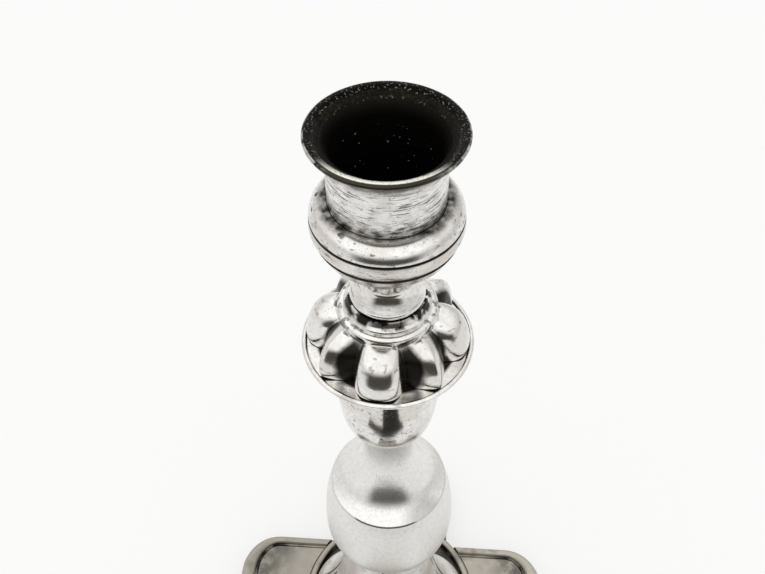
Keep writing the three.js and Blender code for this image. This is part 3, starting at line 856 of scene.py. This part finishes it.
def lobe_tarnish_and_reflection(tree):
    """Black in the valleys to their ends and over the ridges' flanks, partly painted dark
    reflection, in a line under the lobes and in smears on the ring.
    """
    x, y, z, radius = spot(tree)
    foot = fade(tree, z, (flange_top + 0.3) * MM, (flange_top + 0.1) * MM)
    hollow = add_node(tree, "ShaderNodeAttribute", attribute_name="hollow").outputs["Fac"]
    climb = fade(tree, z, flange_top * MM, knop_top * MM)
    ragged = reckon(tree, "MULTIPLY_ADD", grain(tree, (700, 700, 700), 3, 4.0), 0.16, -0.08)
    sunk = reckon(tree, "MULTIPLY_ADD", hollow, climb, hollow)
    black = fade(tree, reckon(tree, "ADD", sunk, ragged), 0.5, 0.95)
    smear = fade(tree, grain(tree, (420, 420, 420), 4, 2.0), 0.52, 0.64)
    ring = fade(tree, radius, KNOP_RING * MM, (KNOP_RING - 0.5) * MM)
    ring = reckon(tree, "MULTIPLY", reckon(tree, "MULTIPLY", ring, smear), 0.7)
    return reckon(tree, "MAXIMUM", reckon(tree, "MAXIMUM", foot, ring), black)


knop.data.materials.append(
    silver("lobe_silver", 0.15, (500, 500, 900), 0.5, 0.5, lobe_tarnish_and_reflection, cloudy=0.5)
)
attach(knop, "stem")
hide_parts("knop_dome")


# Annulet: a small hollow-faced ring on top of the knop, where the socket unit seats.
# Its hollow face is patched with black tarnish.
annulet_low, annulet_top, annulet_radius = extent("neck_annulet")
HEAD_HOLE = 7.5
annulet = turn(
    "annulet_dress",
    [
        (COUPLING_HOLE, annulet_low),
        (annulet_radius, annulet_low),
        (annulet_radius, annulet_low + 0.8),
        (annulet_radius - 0.15, annulet_low + 1.0),
        (annulet_radius - 0.6, annulet_low + 1.3),
        (annulet_radius - 0.85, annulet_low + 1.8),
        (annulet_radius - 0.95, annulet_top - 0.4),
        (annulet_radius - 1.1, annulet_top - 0.1),
        (annulet_radius - 1.35, annulet_top),
        (HEAD_HOLE, annulet_top),
        (HEAD_HOLE, annulet_low + 1.3),
        (COUPLING_HOLE, annulet_low + 1.3),
    ],
)


def annulet_tarnish(tree):
    """Patches of black in the hollow face of the ring."""
    x, y, z, radius = spot(tree)
    hollow = fade(tree, z, (annulet_low + 0.8) * MM, (annulet_low + 1.4) * MM)
    patch = fade(tree, grain(tree, (320, 320, 200), 4, 11.0), 0.42, 0.52)
    return reckon(tree, "MULTIPLY", hollow, patch)


annulet.data.materials.append(
    silver("annulet_silver", 0.16, (300, 300, 1200), 0.6, 0.5, annulet_tarnish)
)
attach(annulet, "stem")
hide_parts("neck_annulet")


# Tie rod, washer and nut: plain steel, drawn up under the foot dome to hold the stack together.
# The rod's thread is cut where it can be seen, and the nut is a chamfered hexagon.
THREAD_DEPTH = 0.32
THREAD_SMOOTH = 25
ROD_PITCH = 1.0
rod_low, rod_high, rod_radius = extent("tie_rod")


def cut_thread(piece, shank, low, high, pitch):
    """Winds a thread into the shank of a turned piece, between two heights."""
    for vertex in piece.data.vertices:
        radius, height = math.hypot(vertex.co.x, vertex.co.y) / MM, vertex.co.z / MM
        if abs(radius - shank) > 0.001 or not low <= height <= high:
            continue
        angle = math.atan2(vertex.co.y, vertex.co.x)
        wave = abs(2 * ((height / pitch - angle / (2 * math.pi)) % 1.0) - 1)
        grow = 1 - THREAD_DEPTH * wave / shank
        vertex.co.x *= grow
        vertex.co.y *= grow


def shank_line(radius, low, high, pitch):
    """Outline of a shank, with four loops to each turn of its thread."""
    loops = round(4 * (high - low) / pitch)
    return [(radius, low + (high - low) * step / loops) for step in range(loops + 1)]


THREAD_SEEN = 26.0
rod = turn(
    "rod_dress",
    [
        (rod_radius - 0.5, rod_low),
        *shank_line(rod_radius, rod_low + 0.4, rod_low + THREAD_SEEN, ROD_PITCH),
        (rod_radius, rod_high),
    ],
    closed=False,
    around=32,
    smooth_angle=THREAD_SMOOTH,
)
cut_thread(rod, rod_radius, rod_low + 0.4, rod_low + THREAD_SEEN, ROD_PITCH)

washer_low, washer_high, washer_radius = extent("rod_washer")
washer = turn(
    "washer_dress",
    [
        (ROD_HOLE, washer_low),
        (washer_radius - 0.3, washer_low),
        *arc((washer_radius - 0.3, washer_low + 0.3), 0.3, 0.3, -70, 0, 3),
        (washer_radius, washer_high),
        (ROD_HOLE, washer_high),
    ],
    around=64,
)

nut_low, nut_high, nut_corner = extent("rod_nut")
NUT_CHAMFER = 0.7
NUT_SMOOTH = 20
nut = start_circle("nut_dress", 6, nut_corner, nut_low)
bpy.ops.mesh.extrude_region_move(
    TRANSFORM_OT_translate={"value": (0, 0, (nut_high - nut_low) * MM)}
)
bpy.ops.mesh.select_all(action="SELECT")
bpy.ops.mesh.fill_holes(sides=0)
close_mesh(nut, NUT_SMOOTH)
bpy.ops.object.select_all(action="DESELECT")
bpy.ops.mesh.primitive_cone_add(
    vertices=48,
    radius1=(nut_corner - NUT_CHAMFER) * MM,
    radius2=(nut_corner - NUT_CHAMFER + 2 * (nut_high - nut_low)) * MM,
    depth=(nut_high - nut_low + 2 * HAIR / MM) * MM,
    location=(0, 0, (nut_low + nut_high) / 2 * MM),
)
nut_cone = bpy.context.active_object
bpy.ops.mesh.primitive_cylinder_add(
    vertices=48,
    radius=ROD_HOLE * MM,
    depth=4 * (nut_high - nut_low) * MM,
    location=(0, 0, nut_low * MM),
)
nut_bore = bpy.context.active_object
for cutter, operation in ((nut_cone, "INTERSECT"), (nut_bore, "DIFFERENCE")):
    shaped = nut.modifiers.new("shaped", "BOOLEAN")
    shaped.object = cutter
    shaped.operation = operation
    shaped.solver = "EXACT"
    bpy.context.view_layer.objects.active = nut
    bpy.ops.object.modifier_apply(modifier=shaped.name)
    bpy.data.objects.remove(cutter)
bpy.ops.object.select_all(action="DESELECT")
nut.select_set(True)
bpy.ops.object.shade_smooth_by_angle(angle=math.radians(NUT_SMOOTH))


def plain_metal(name, colour, worn_colour, polish):
    """Bare turned metal with fine turning marks and a patchy skin."""
    material, tree, metal = start_finish(name)
    patches = fade(tree, grain(tree, (240, 240, 240), 5, 2.5), 0.4, 0.66)
    tree.links.new(
        blend_colour(tree, patches, (*colour, 1), (*worn_colour, 1)), metal.inputs["Base Color"]
    )
    marks = grain(tree, (150, 150, 3000), 2, 6.5)
    worn = reckon(tree, "MULTIPLY_ADD", marks, 0.25, polish - 0.12)
    tree.links.new(worn, metal.inputs["Roughness"])
    roughen(tree, metal, marks, 0.01)
    return material


STEEL = (0.54, 0.55, 0.56)
STEEL_WORN = (0.30, 0.28, 0.26)
steel = plain_metal("rod_steel", STEEL, STEEL_WORN, 0.38)
for piece, node in ((rod, "tie_rod"), (washer, "rod_washer"), (nut, "rod_nut")):
    piece.data.materials.clear()
    piece.data.materials.append(steel)
    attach(piece, "stem")
    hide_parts(node)


# Coupling: a tapped brass bush at the head of the rod, flush with the top of the annulet.
# The stud of the socket unit screws into it from above.
STUD_HOLE = 4.3
coupling_low, coupling_top, coupling_head = extent("stem_coupling")
COUPLING_RADIUS = 6.0
stud_low, stud_high, stud_head = extent("socket_stud")
coupling = turn(
    "coupling_dress",
    [
        (ROD_HOLE, coupling_low),
        (COUPLING_RADIUS, coupling_low),
        (COUPLING_RADIUS, coupling_top - 1.4),
        (coupling_head, coupling_top - 1.4),
        (coupling_head, coupling_top - 0.25),
        (coupling_head - 0.25, coupling_top),
        (STUD_HOLE + 0.5, coupling_top),
        (STUD_HOLE, coupling_top - 0.5),
        (STUD_HOLE, stud_low - 1.4),
        (ROD_HOLE, stud_low - 1.4),
    ],
    around=64,
)
BRASS = (0.69, 0.55, 0.31)
BRASS_WORN = (0.42, 0.31, 0.16)
brass = plain_metal("thread_brass", BRASS, BRASS_WORN, 0.34)
coupling.data.materials.append(brass)
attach(coupling, "stem")
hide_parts("stem_coupling")


# Stud: the brass screw that holds the socket unit together and screws into the stem.
# Its head is let into the bowl, and its thread shows when the socket is lifted off.
STUD_RADIUS = 4.0
STUD_PITCH = 1.0
spool_low, spool_high, spool_radius = extent("neck_spool")
stud_seat = stud_high - 1.7
stud = turn(
    "stud_dress",
    [
        (STUD_RADIUS - 0.6, stud_low),
        *shank_line(STUD_RADIUS, stud_low + 0.5, spool_low - 0.8, STUD_PITCH),
        (STUD_RADIUS - 0.35, spool_low - 0.5),
        (STUD_RADIUS - 0.35, spool_low + 0.3),
        (STUD_RADIUS, spool_low + 0.8),
        (STUD_RADIUS, stud_seat),
        (stud_head, stud_seat),
        (stud_head, stud_high),
    ],
    closed=False,
    around=48,
    smooth_angle=THREAD_SMOOTH,
)
cut_thread(stud, STUD_RADIUS, stud_low + 0.5, spool_low - 0.8, STUD_PITCH)
stud.data.materials.append(brass)
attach(stud, "socket")
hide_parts("socket_stud")


# Spool: the short waisted neck of the socket unit, with a thin lip at its foot.
# It is turned and polished, with a black gap under the lip.
SPOOL_WAIST = 6.3
LIP_HEIGHT = 1.6
bowl_low, bowl_high, bowl_radius = extent("socket_bowl")
BOWL_FOOT = 7.5
spool_line = curve(
    [
        (spool_radius - 0.1, spool_low + LIP_HEIGHT),
        (SPOOL_WAIST + 0.65, spool_low + LIP_HEIGHT + 2.1),
        (SPOOL_WAIST + 0.1, spool_low + LIP_HEIGHT + 3.7),
        (SPOOL_WAIST, spool_low + LIP_HEIGHT + 5.2),
        (BOWL_FOOT - 0.35, spool_high),
    ],
    8,
)
spool = turn(
    "spool_dress",
    [
        (STUD_HOLE, spool_low),
        (spool_radius - 0.5, spool_low),
        *arc((spool_radius - 0.55, spool_low + 0.75), 0.55, 0.75, -80, 60, 8),
        *spool_line,
        (STUD_HOLE, spool_high),
    ],
)
spool.data.materials.append(
    silver(
        "spool_silver",
        0.12,
        (260, 260, 1300),
        0.6,
        0.5,
        joint_lines(spool_low, half=0.35),
    )
)
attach(spool, "socket")
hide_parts("neck_spool")


# Bowl: the turned cup under the socket, recessed for the tube and for the head of the stud.
# A fine tarnished groove parts it from the band above.
TUBE_HOLE = 12.2
HEAD_RECESS = 7.3
tube_foot, rim_top, lip_radius = extent("socket_tube")
bowl_height = bowl_high - bowl_low
bowl_spread = bowl_radius - BOWL_FOOT
bowl_line = curve(
    [
        (BOWL_FOOT, bowl_low),
        (BOWL_FOOT + 0.36 * bowl_spread, bowl_low + 0.18 * bowl_height),
        (BOWL_FOOT + 0.78 * bowl_spread, bowl_low + 0.53 * bowl_height),
        (bowl_radius, bowl_high - 0.3),
    ],
    8,
)
bowl = turn(
    "bowl_dress",
    [
        (STUD_HOLE, bowl_low),
        *bowl_line,
        (bowl_radius - 0.35, bowl_high),
        (TUBE_HOLE, bowl_high),
        (TUBE_HOLE, tube_foot),
        (HEAD_RECESS, tube_foot),
        (HEAD_RECESS, stud_seat),
        (STUD_HOLE, stud_seat),
    ],
)
bowl.data.materials.append(
    silver(
        "bowl_silver",
        0.23,
        (420, 420, 1900),
        1.0,
        1.0,
        joint_lines(bowl_high, bowl_low, half=0.5),
    )
)
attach(bowl, "socket")
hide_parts("socket_bowl")


# Band: a narrow swelling ring between two fine grooves, soldered between bowl and collar.
# The grooves above and below it are filled with black tarnish.
band_low, band_high, band_radius = extent("socket_band")
COLLAR_RADIUS = 15.7
band_line = curve(
    [
        (bowl_radius, band_low + 0.3),
        (band_radius - 0.25, band_low + 1.5),
        (band_radius, band_low + 2.8),
        (COLLAR_RADIUS + 0.05, band_high - 0.3),
    ],
    5,
)
band = turn(
    "band_dress",
    [
        (TUBE_HOLE, band_low),
        (bowl_radius - 0.35, band_low),
        *band_line,
        (COLLAR_RADIUS - 0.4, band_high),
        (TUBE_HOLE, band_high),
    ],
)
band.data.materials.append(
    silver(
        "band_silver",
        0.23,
        (420, 420, 1900),
        1.0,
        1.0,
        joint_lines(band_low, band_high, half=0.5),
    )
)
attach(band, "socket")
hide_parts("socket_band")


# Collar: a quarter-round ring soldered about the foot of the tube.
# Its crown is polished bright, and black tarnish lies where it meets the tube.
collar_low, collar_top, collar_radius = extent("socket_collar")
TUBE_RADIUS = 11.9
COLLAR_HOLE = TUBE_RADIUS + 0.03
collar = turn(
    "collar_dress",
    [
        (COLLAR_HOLE, collar_low),
        (collar_radius - 0.4, collar_low),
        *arc(
            (COLLAR_HOLE, collar_low + 0.35),
            collar_radius - COLLAR_HOLE,
            collar_top - collar_low - 0.35,
            0,
            89,
            16,
        ),
    ],
)


def collar_tarnish(tree):
    """Black in the groove under the collar and smeared about the foot of the tube."""
    x, y, z, radius = spot(tree)
    groove = fade(tree, z, (collar_low + 0.5) * MM, (collar_low + 0.3) * MM)
    side = fade(tree, reckon(tree, "ABSOLUTE", x), 4 * MM, 11 * MM)
    reach = reckon(tree, "MULTIPLY_ADD", side, 1.3 * MM, (COLLAR_HOLE + 0.4) * MM)
    near = fade(tree, reckon(tree, "SUBTRACT", reach, radius), -1.0 * MM, 0.8 * MM)
    smear = fade(tree, grain(tree, (380, 380, 800), 4, 4.4), 0.3, 0.6)
    smear = reckon(tree, "MULTIPLY_ADD", smear, 0.5, 0.5)
    return reckon(tree, "MAXIMUM", groove, reckon(tree, "MULTIPLY", near, smear))


collar.data.materials.append(
    silver("collar_silver", 0.2, (420, 420, 1300), 1.0, 0.7, collar_tarnish, cloudy=0.8)
)
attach(collar, "socket")
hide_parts("socket_collar")


# Socket tube: a drawn tube with a flared lip, open at the top for the candle.
# Outside it is scratched round and round; the bore is black with soot, and the lip is near black,
# partly soot and partly painted dark reflection, but olive in front.
BORE_RADIUS = 11.0
FLARE_HEIGHT = 7.9
FLARE_STEPS = 14
MOUTH_RADIUS = 12.15


def flare():
    """Outside of the flared lip, from the straight tube to the rolled edge."""
    start = (TUBE_RADIUS, rim_top - FLARE_HEIGHT)
    pull = (TUBE_RADIUS, rim_top - 2.0)
    stop = (lip_radius - 0.25, rim_top - 1.0)
    line = []
    for step in range(FLARE_STEPS + 1):
        t = step / FLARE_STEPS
        weights = ((1 - t) ** 2, 2 * t * (1 - t), t**2)
        line.append(
            tuple(sum(w * p[i] for w, p in zip(weights, (start, pull, stop))) for i in (0, 1))
        )
    return line


tube = turn(
    "tube_dress",
    [
        (TUBE_RADIUS, tube_foot),
        (TUBE_RADIUS, tube_foot + 6.0),
        *flare(),
        *arc((lip_radius - 0.5, rim_top - 0.5), 0.5, 0.5, -25, 90, 8),
        (lip_radius - 1.1, rim_top - 0.03),
        (lip_radius - 1.6, rim_top - 0.12),
        (lip_radius - 2.0, rim_top - 0.35),
        (lip_radius - 2.5, rim_top - 0.8),
        (MOUTH_RADIUS + 0.25, rim_top - 1.45),
        (MOUTH_RADIUS - 0.1, rim_top - 1.85),
        (BORE_RADIUS + 0.45, rim_top - 2.9),
        (BORE_RADIUS + 0.1, rim_top - 4.0),
        (BORE_RADIUS, rim_top - 5.0),
        (BORE_RADIUS, rim_top - 12.0),
        (BORE_RADIUS, tube_foot),
    ],
    around=160,
)
SOOT = (0.012, 0.011, 0.009, 1)
SOOT_BROWN = (0.028, 0.023, 0.015, 1)
WAX_CRUMB = (0.4, 0.4, 0.37, 1)
LIP_OLIVE = (0.045, 0.041, 0.031, 1)
LIP_EDGE = (0.8, 0.78, 0.7, 1)
LIP_SOOT_AND_REFLECTION = (0.005, 0.0047, 0.004, 1)
LIP_SPECK = (0.17, 0.165, 0.145, 1)
LIP_WORN = (0.5, 0.49, 0.45, 1)
FLARE_SHADE_BROWN = (0.075, 0.065, 0.05, 1)


def tube_silver():
    """Scratched silver outside and black soot inside; the lip is olive in front and near black
    elsewhere, partly soot and partly painted dark reflection.
    """
    material, tree, metal = start_finish("tube_silver")
    x, y, z, radius = spot(tree)
    clouds = fade(tree, grain(tree, (420, 420, 900), 5, 1.5), 0.64, 0.34)
    colour = blend_colour(tree, clouds, CLEAN_SILVER, CLOUDED_SILVER)
    marks = grain(tree, (330, 330, 3600), 3, 4.0)
    deep_marks = grain(tree, (170, 170, 2300), 2, 12.0)
    patches = fade(tree, grain(tree, (190, 190, 420), 3, 8.0), 0.38, 0.6)
    lines = reckon(tree, "MULTIPLY", fade(tree, marks, 0.545, 0.6), patches)
    lines = reckon(tree, "MAXIMUM", lines, fade(tree, deep_marks, 0.6, 0.63))
    pits = fade(tree, grain(tree, (2000, 2000, 2000), 1, 6.0), 0.66, 0.71)
    lines = reckon(tree, "MAXIMUM", lines, reckon(tree, "MULTIPLY", pits, 0.8))
    colour = blend_colour(tree, reckon(tree, "MULTIPLY", lines, 0.85), colour, SCRATCH)

    foot = fade(tree, z, (collar_top + 5.5) * MM, collar_top * MM)
    smear = fade(tree, grain(tree, (500, 500, 1100), 5, 3.0), 0.42, 0.64)
    foot = reckon(tree, "MULTIPLY", foot, smear)
    seat_line = fade(tree, z, (collar_top + 0.5) * MM, (collar_top + 0.1) * MM)
    seat_line = reckon(tree, "MULTIPLY", seat_line, reckon(tree, "MULTIPLY_ADD", smear, 0.5, 0.5))
    black_share = reckon(tree, "MAXIMUM", foot, seat_line)
    colour = blend_colour(tree, reckon(tree, "MULTIPLY", black_share, 0.9), colour, TARNISH)

    # Painted shade under the lip, made patchy by stain.
    stain = fade(tree, grain(tree, (260, 260, 900), 4, 9.0), 0.3, 0.6)
    shade_under_lip = fade(tree, z, (rim_top - 6.6) * MM, (rim_top - 3.0) * MM)
    shade_under_lip = reckon(tree, "MULTIPLY", shade_under_lip, reckon(tree, "MULTIPLY_ADD", stain, 0.4, 0.55))
    colour = blend_colour(tree, shade_under_lip, colour, FLARE_SHADE_BROWN)
    lip = fade(tree, z, (rim_top - 1.5) * MM, (rim_top - 0.9) * MM)
    colour = blend_colour(tree, lip, colour, LIP_OLIVE)
    speckle = fade(tree, grain(tree, (2300, 2300, 2300), 2, 2.0), 0.60, 0.68)
    edge = fade(tree, radius, (lip_radius - 0.6) * MM, (lip_radius - 0.85) * MM)
    upper = fade(tree, z, (rim_top - 0.8) * MM, (rim_top - 0.3) * MM)
    edge = reckon(tree, "MULTIPLY", edge, upper)
    edge = reckon(tree, "MULTIPLY", edge, reckon(tree, "SUBTRACT", 1.0, speckle))
    colour = blend_colour(tree, edge, colour, LIP_EDGE)
    # Partly painted dark reflection: the lip is made near black everywhere but at its front.
    back_and_sides_painted_dark = fade(tree, y, -13.4 * MM, -8 * MM)
    outer = fade(tree, radius, (lip_radius - 0.5) * MM, (lip_radius - 0.2) * MM)
    rubbed = fade(tree, grain(tree, (420, 420, 420), 4, 3.0), 0.36, 0.6)
    outer = reckon(tree, "MULTIPLY", outer, rubbed)
    dark_lip = blend_colour(tree, speckle, LIP_SOOT_AND_REFLECTION, LIP_SPECK)
    dark_lip = blend_colour(tree, outer, dark_lip, LIP_WORN)
    colour = blend_colour(tree, reckon(tree, "MULTIPLY", lip, back_and_sides_painted_dark), colour, dark_lip)

    flared = fade(tree, z, (rim_top - 4.1) * MM, rim_top * MM)
    wall = reckon(tree, "MULTIPLY_ADD", flared, 2.15 * MM, (BORE_RADIUS + 0.45) * MM)
    ragged = reckon(tree, "MULTIPLY", grain(tree, (700, 700, 700), 4, 5.0), 0.5 * MM)
    inward = reckon(tree, "ADD", reckon(tree, "SUBTRACT", wall, radius), ragged)
    sooty = fade(tree, inward, 0.15 * MM, 0.4 * MM)
    crumbs = fade(tree, grain(tree, (1500, 1500, 1500), 4, 7.0), 0.46, 0.72)
    mouth = fade(tree, radius, (MOUTH_RADIUS - 0.35) * MM, (MOUTH_RADIUS + 0.15) * MM)
    soot = blend_colour(tree, reckon(tree, "MULTIPLY", crumbs, mouth), SOOT, SOOT_BROWN)
    ring = reckon(tree, "ABSOLUTE", reckon(tree, "SUBTRACT", radius, (MOUTH_RADIUS + 0.1) * MM))
    ring = fade(tree, ring, 0.3 * MM, 0.1 * MM)
    ring = reckon(tree, "MULTIPLY", ring, fade(tree, crumbs, 0.4, 0.9))
    ring = reckon(tree, "MULTIPLY", ring, fade(tree, y, 2 * MM, 10 * MM))
    soot = blend_colour(tree, reckon(tree, "MULTIPLY", ring, 0.6), soot, LIP_SPECK)
    deep = fade(tree, z, (rim_top - 6) * MM, (rim_top - 9) * MM)
    wax = fade(tree, grain(tree, (900, 900, 900), 3, 14.0), 0.68, 0.72)
    wax = reckon(tree, "MULTIPLY", reckon(tree, "MULTIPLY", wax, deep), sooty)
    soot = blend_colour(tree, wax, soot, WAX_CRUMB)
    tree.links.new(blend_colour(tree, sooty, colour, soot), metal.inputs["Base Color"])
    tree.links.new(reckon(tree, "SUBTRACT", 1.0, wax), metal.inputs["Metallic"])
    worn = reckon(tree, "MULTIPLY_ADD", lines, 0.2, 0.25)
    worn = reckon(tree, "MULTIPLY_ADD", sooty, 0.3, worn)
    tree.links.new(worn, metal.inputs["Roughness"])
    relief = reckon(tree, "MULTIPLY_ADD", sooty, crumbs, marks)
    roughen(tree, metal, relief, 0.02)
    return material


tube.data.materials.append(tube_silver())
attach(tube, "socket")
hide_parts("socket_tube")


# Socket floor: the disc that closes the bore, on which the candle stands.
# It is black with soot, and a few crumbs of old wax and metal catch the light.
floor_low, floor_high, floor_radius = extent("socket_floor")
socket_floor = turn(
    "socket_floor_dress",
    [
        (floor_radius, floor_low),
        (floor_radius, floor_high - 0.2),
        (floor_radius - 0.2, floor_high),
        (floor_radius * 0.6, floor_high - 0.05),
        (floor_radius * 0.2, floor_high - 0.1),
    ],
    closed=False,
    around=64,
)


def soot_black():
    """Soot with a few bright crumbs."""
    material, tree, metal = start_finish("socket_soot")
    crumbs = fade(tree, grain(tree, (800, 800, 800), 3, 2.0), 0.68, 0.76)
    tree.links.new(
        blend_colour(tree, crumbs, SOOT, WAX_CRUMB), metal.inputs["Base Color"]
    )
    tree.links.new(reckon(tree, "SUBTRACT", 1.0, crumbs), metal.inputs["Metallic"])
    skin = grain(tree, (500, 500, 500), 4, 6.0)
    tree.links.new(reckon(tree, "MULTIPLY_ADD", skin, 0.3, 0.4), metal.inputs["Roughness"])
    roughen(tree, metal, skin, 0.3)
    return material


socket_floor.data.materials.append(soot_black())
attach(socket_floor, "socket")
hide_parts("socket_floor")


# Studio: a pale paper sweep that ends in front of the candlestick, under a soft white light.
# The room beyond the paper is dark low in front, which gives the metal its dark reflections.
SWEEP_FRONT = -0.34
SWEEP_BACK = 2.0
SWEEP_HALF = 2.0
PAPER_DARK = (0.845, 0.847, 0.843, 1)
PAPER_LIGHT = (0.86, 0.862, 0.858, 1)
PAPER_GLOW = (0.955, 0.955, 0.948, 1)
GLOW_SHARE = 0.6
bpy.ops.object.select_all(action="DESELECT")
bpy.ops.mesh.primitive_plane_add(size=2.0, location=(0, 0, 0))
sweep = bpy.context.active_object
sweep.name = "paper_sweep"
for vertex in sweep.data.vertices:
    vertex.co.x = math.copysign(SWEEP_HALF, vertex.co.x)
    vertex.co.y = SWEEP_BACK if vertex.co.y > 0 else SWEEP_FRONT
paper = bpy.data.materials.new("paper")
paper.use_nodes = True
paper_shader = paper.node_tree.nodes["Principled BSDF"]
paper_shader.inputs["Roughness"].default_value = 0.9
paper_shader.inputs["Specular IOR Level"].default_value = 0.1
fibre = fade(paper.node_tree, grain(paper.node_tree, (400, 400, 400), 3), 0.2, 0.8)
paper.node_tree.links.new(
    blend_colour(paper.node_tree, fibre, PAPER_DARK, PAPER_LIGHT),
    paper_shader.inputs["Base Color"],
)
rays = add_node(paper.node_tree, "ShaderNodeLightPath").outputs
seen_ray = reckon(paper.node_tree, "MAXIMUM", rays["Is Camera Ray"], rays["Is Glossy Ray"])
seen_ray = reckon(paper.node_tree, "MAXIMUM", seen_ray, rays["Is Transmission Ray"])
glow = add_node(paper.node_tree, "ShaderNodeEmission", [(0, PAPER_GLOW)])
lifted = add_node(
    paper.node_tree,
    "ShaderNodeMixShader",
    [
        (0, reckon(paper.node_tree, "MULTIPLY", seen_ray, GLOW_SHARE)),
        (1, paper_shader.outputs[0]),
        (2, glow.outputs[0]),
    ],
)
paper.node_tree.links.new(
    lifted.outputs[0], paper.node_tree.nodes["Material Output"].inputs["Surface"]
)
sweep.data.materials.append(paper)

# Two small dark cards hang in front of the stem and show only in reflections, from above.
# Each is given by its middle, its half width and its near and far edge, in metres.
CARD_HEIGHT = 0.105
CARD_BLACK = (0.015, 0.013, 0.011, 1)
BROAD_CARD = (-0.0005, 0.0135, -0.0198, -0.025)
NARROW_CARD = (0.0045, 0.0075, -0.025, -0.043)
card = bpy.data.materials.new("card")
card.use_nodes = True
card_shader = card.node_tree.nodes["Principled BSDF"]
card_shader.inputs["Base Color"].default_value = CARD_BLACK
card_shader.inputs["Roughness"].default_value = 0.9
from_below = add_node(card.node_tree, "ShaderNodeNewGeometry").outputs["Backfacing"]
clear = add_node(card.node_tree, "ShaderNodeBsdfTransparent")
one_sided = add_node(
    card.node_tree,
    "ShaderNodeMixShader",
    [(0, from_below), (1, card_shader.outputs[0]), (2, clear.outputs[0])],
)
card.node_tree.links.new(
    one_sided.outputs[0], card.node_tree.nodes["Material Output"].inputs["Surface"]
)
for middle, half, near, far in (BROAD_CARD, NARROW_CARD):
    bpy.ops.object.select_all(action="DESELECT")
    bpy.ops.mesh.primitive_plane_add(size=2.0, location=(0, 0, 0))
    flag = bpy.context.active_object
    flag.name = "dark_card"
    for vertex in flag.data.vertices:
        vertex.co.x = middle + math.copysign(half, vertex.co.x)
        vertex.co.y = near if vertex.co.y > 0 else far
        vertex.co.z = CARD_HEIGHT
    flag.data.materials.append(card)
    flag.visible_camera = False
    flag.visible_diffuse = False
    flag.visible_shadow = False

# The room gives white light, stronger from above and weaker from the right. It has a dark side
# low in front, which reflections and soft light see and the camera doesn't: the camera sees white.
# The dark side's edges are in degrees, sideways from the camera and up from the horizon.
ROOM_DARK = (0.085, 0.078, 0.066, 1)
ROOM_SIDE = 42.0
ROOM_LOW = -34.0
ROOM_HIGH = 12.0
LIGHT_LEVEL = 0.86
LIGHT_OVERHEAD = 0.42
LIGHT_LOST_RIGHT = 0.14
CAMERA_AZIMUTH = 4.0
world = bpy.data.worlds.new("studio")
bpy.context.scene.world = world
world.use_nodes = True
sky = world.node_tree
background = sky.nodes["Background"]
looking = add_node(sky, "ShaderNodeTexCoord").outputs["Generated"]
east, north, up = add_node(sky, "ShaderNodeSeparateXYZ", [(0, looking)]).outputs
bearing = reckon(sky, "ARCTAN2", east, reckon(sky, "MULTIPLY", north, -1.0))
aside = reckon(sky, "ABSOLUTE", reckon(sky, "SUBTRACT", bearing, math.radians(CAMERA_AZIMUTH)))
height_angle = reckon(sky, "ARCSINE", up)
in_front = fade(sky, aside, math.radians(ROOM_SIDE + 14), math.radians(ROOM_SIDE - 10))
above_low = fade(sky, height_angle, math.radians(ROOM_LOW - 2), math.radians(ROOM_LOW + 2))
below_high = fade(sky, height_angle, math.radians(ROOM_HIGH + 9), math.radians(ROOM_HIGH - 11))
dark = reckon(sky, "MULTIPLY", in_front, reckon(sky, "MULTIPLY", above_low, below_high))
overhead = fade(sky, height_angle, math.radians(10), math.radians(36))
light = reckon(sky, "MULTIPLY_ADD", overhead, LIGHT_OVERHEAD, LIGHT_LEVEL)
right_side = fade(sky, bearing, math.radians(30), math.radians(90))
kept_right = reckon(sky, "MULTIPLY_ADD", right_side, -LIGHT_LOST_RIGHT, 1.0)
light = reckon(sky, "MULTIPLY", light, kept_right)
seen = add_node(sky, "ShaderNodeLightPath").outputs["Is Camera Ray"]
dark = reckon(sky, "MULTIPLY", dark, reckon(sky, "SUBTRACT", 1.0, seen))
shown = add_node(
    sky, "ShaderNodeMix", [(0, seen), (2, light), (3, 1.0)], data_type="FLOAT"
).outputs[0]
sky.links.new(blend_colour(sky, dark, (1, 1, 1, 1), ROOM_DARK), background.inputs["Color"])
sky.links.new(shown, background.inputs["Strength"])

# The camera stands where the round edges of the candlestick look as they do in the photo.
# Its distance from the axis and its height are in millimetres, its angles in degrees.
CAMERA_DISTANCE = 130.8
CAMERA_HEIGHT = 311.5
CAMERA_PITCH = 47.85
CAMERA_YAW = 0.477
CAMERA_ROLL = -0.686
SENSOR = 36.0
FOCAL_PIXELS = 896.0
PHOTO_WIDTH = 765.0
camera = bpy.data.cameras.new("photo_camera")
camera.sensor_width = SENSOR
camera.lens = SENSOR * FOCAL_PIXELS / PHOTO_WIDTH
camera.clip_start = 0.01
photo_camera = bpy.data.objects.new("photo_camera", camera)
bpy.context.scene.collection.objects.link(photo_camera)
bearing_out = math.radians(CAMERA_AZIMUTH)
turned = (
    Matrix.Rotation(math.radians(CAMERA_AZIMUTH + CAMERA_YAW), 4, "Z")
    @ Matrix.Rotation(math.radians(90 - CAMERA_PITCH), 4, "X")
    @ Matrix.Rotation(math.radians(CAMERA_ROLL), 4, "Z")
)
standing = Matrix.Translation(
    (
        CAMERA_DISTANCE * MM * math.sin(bearing_out),
        -CAMERA_DISTANCE * MM * math.cos(bearing_out),
        CAMERA_HEIGHT * MM,
    )
)
photo_camera.matrix_world = standing @ turned
bpy.context.scene.camera = photo_camera
bpy.context.scene.view_settings.view_transform = "Standard"
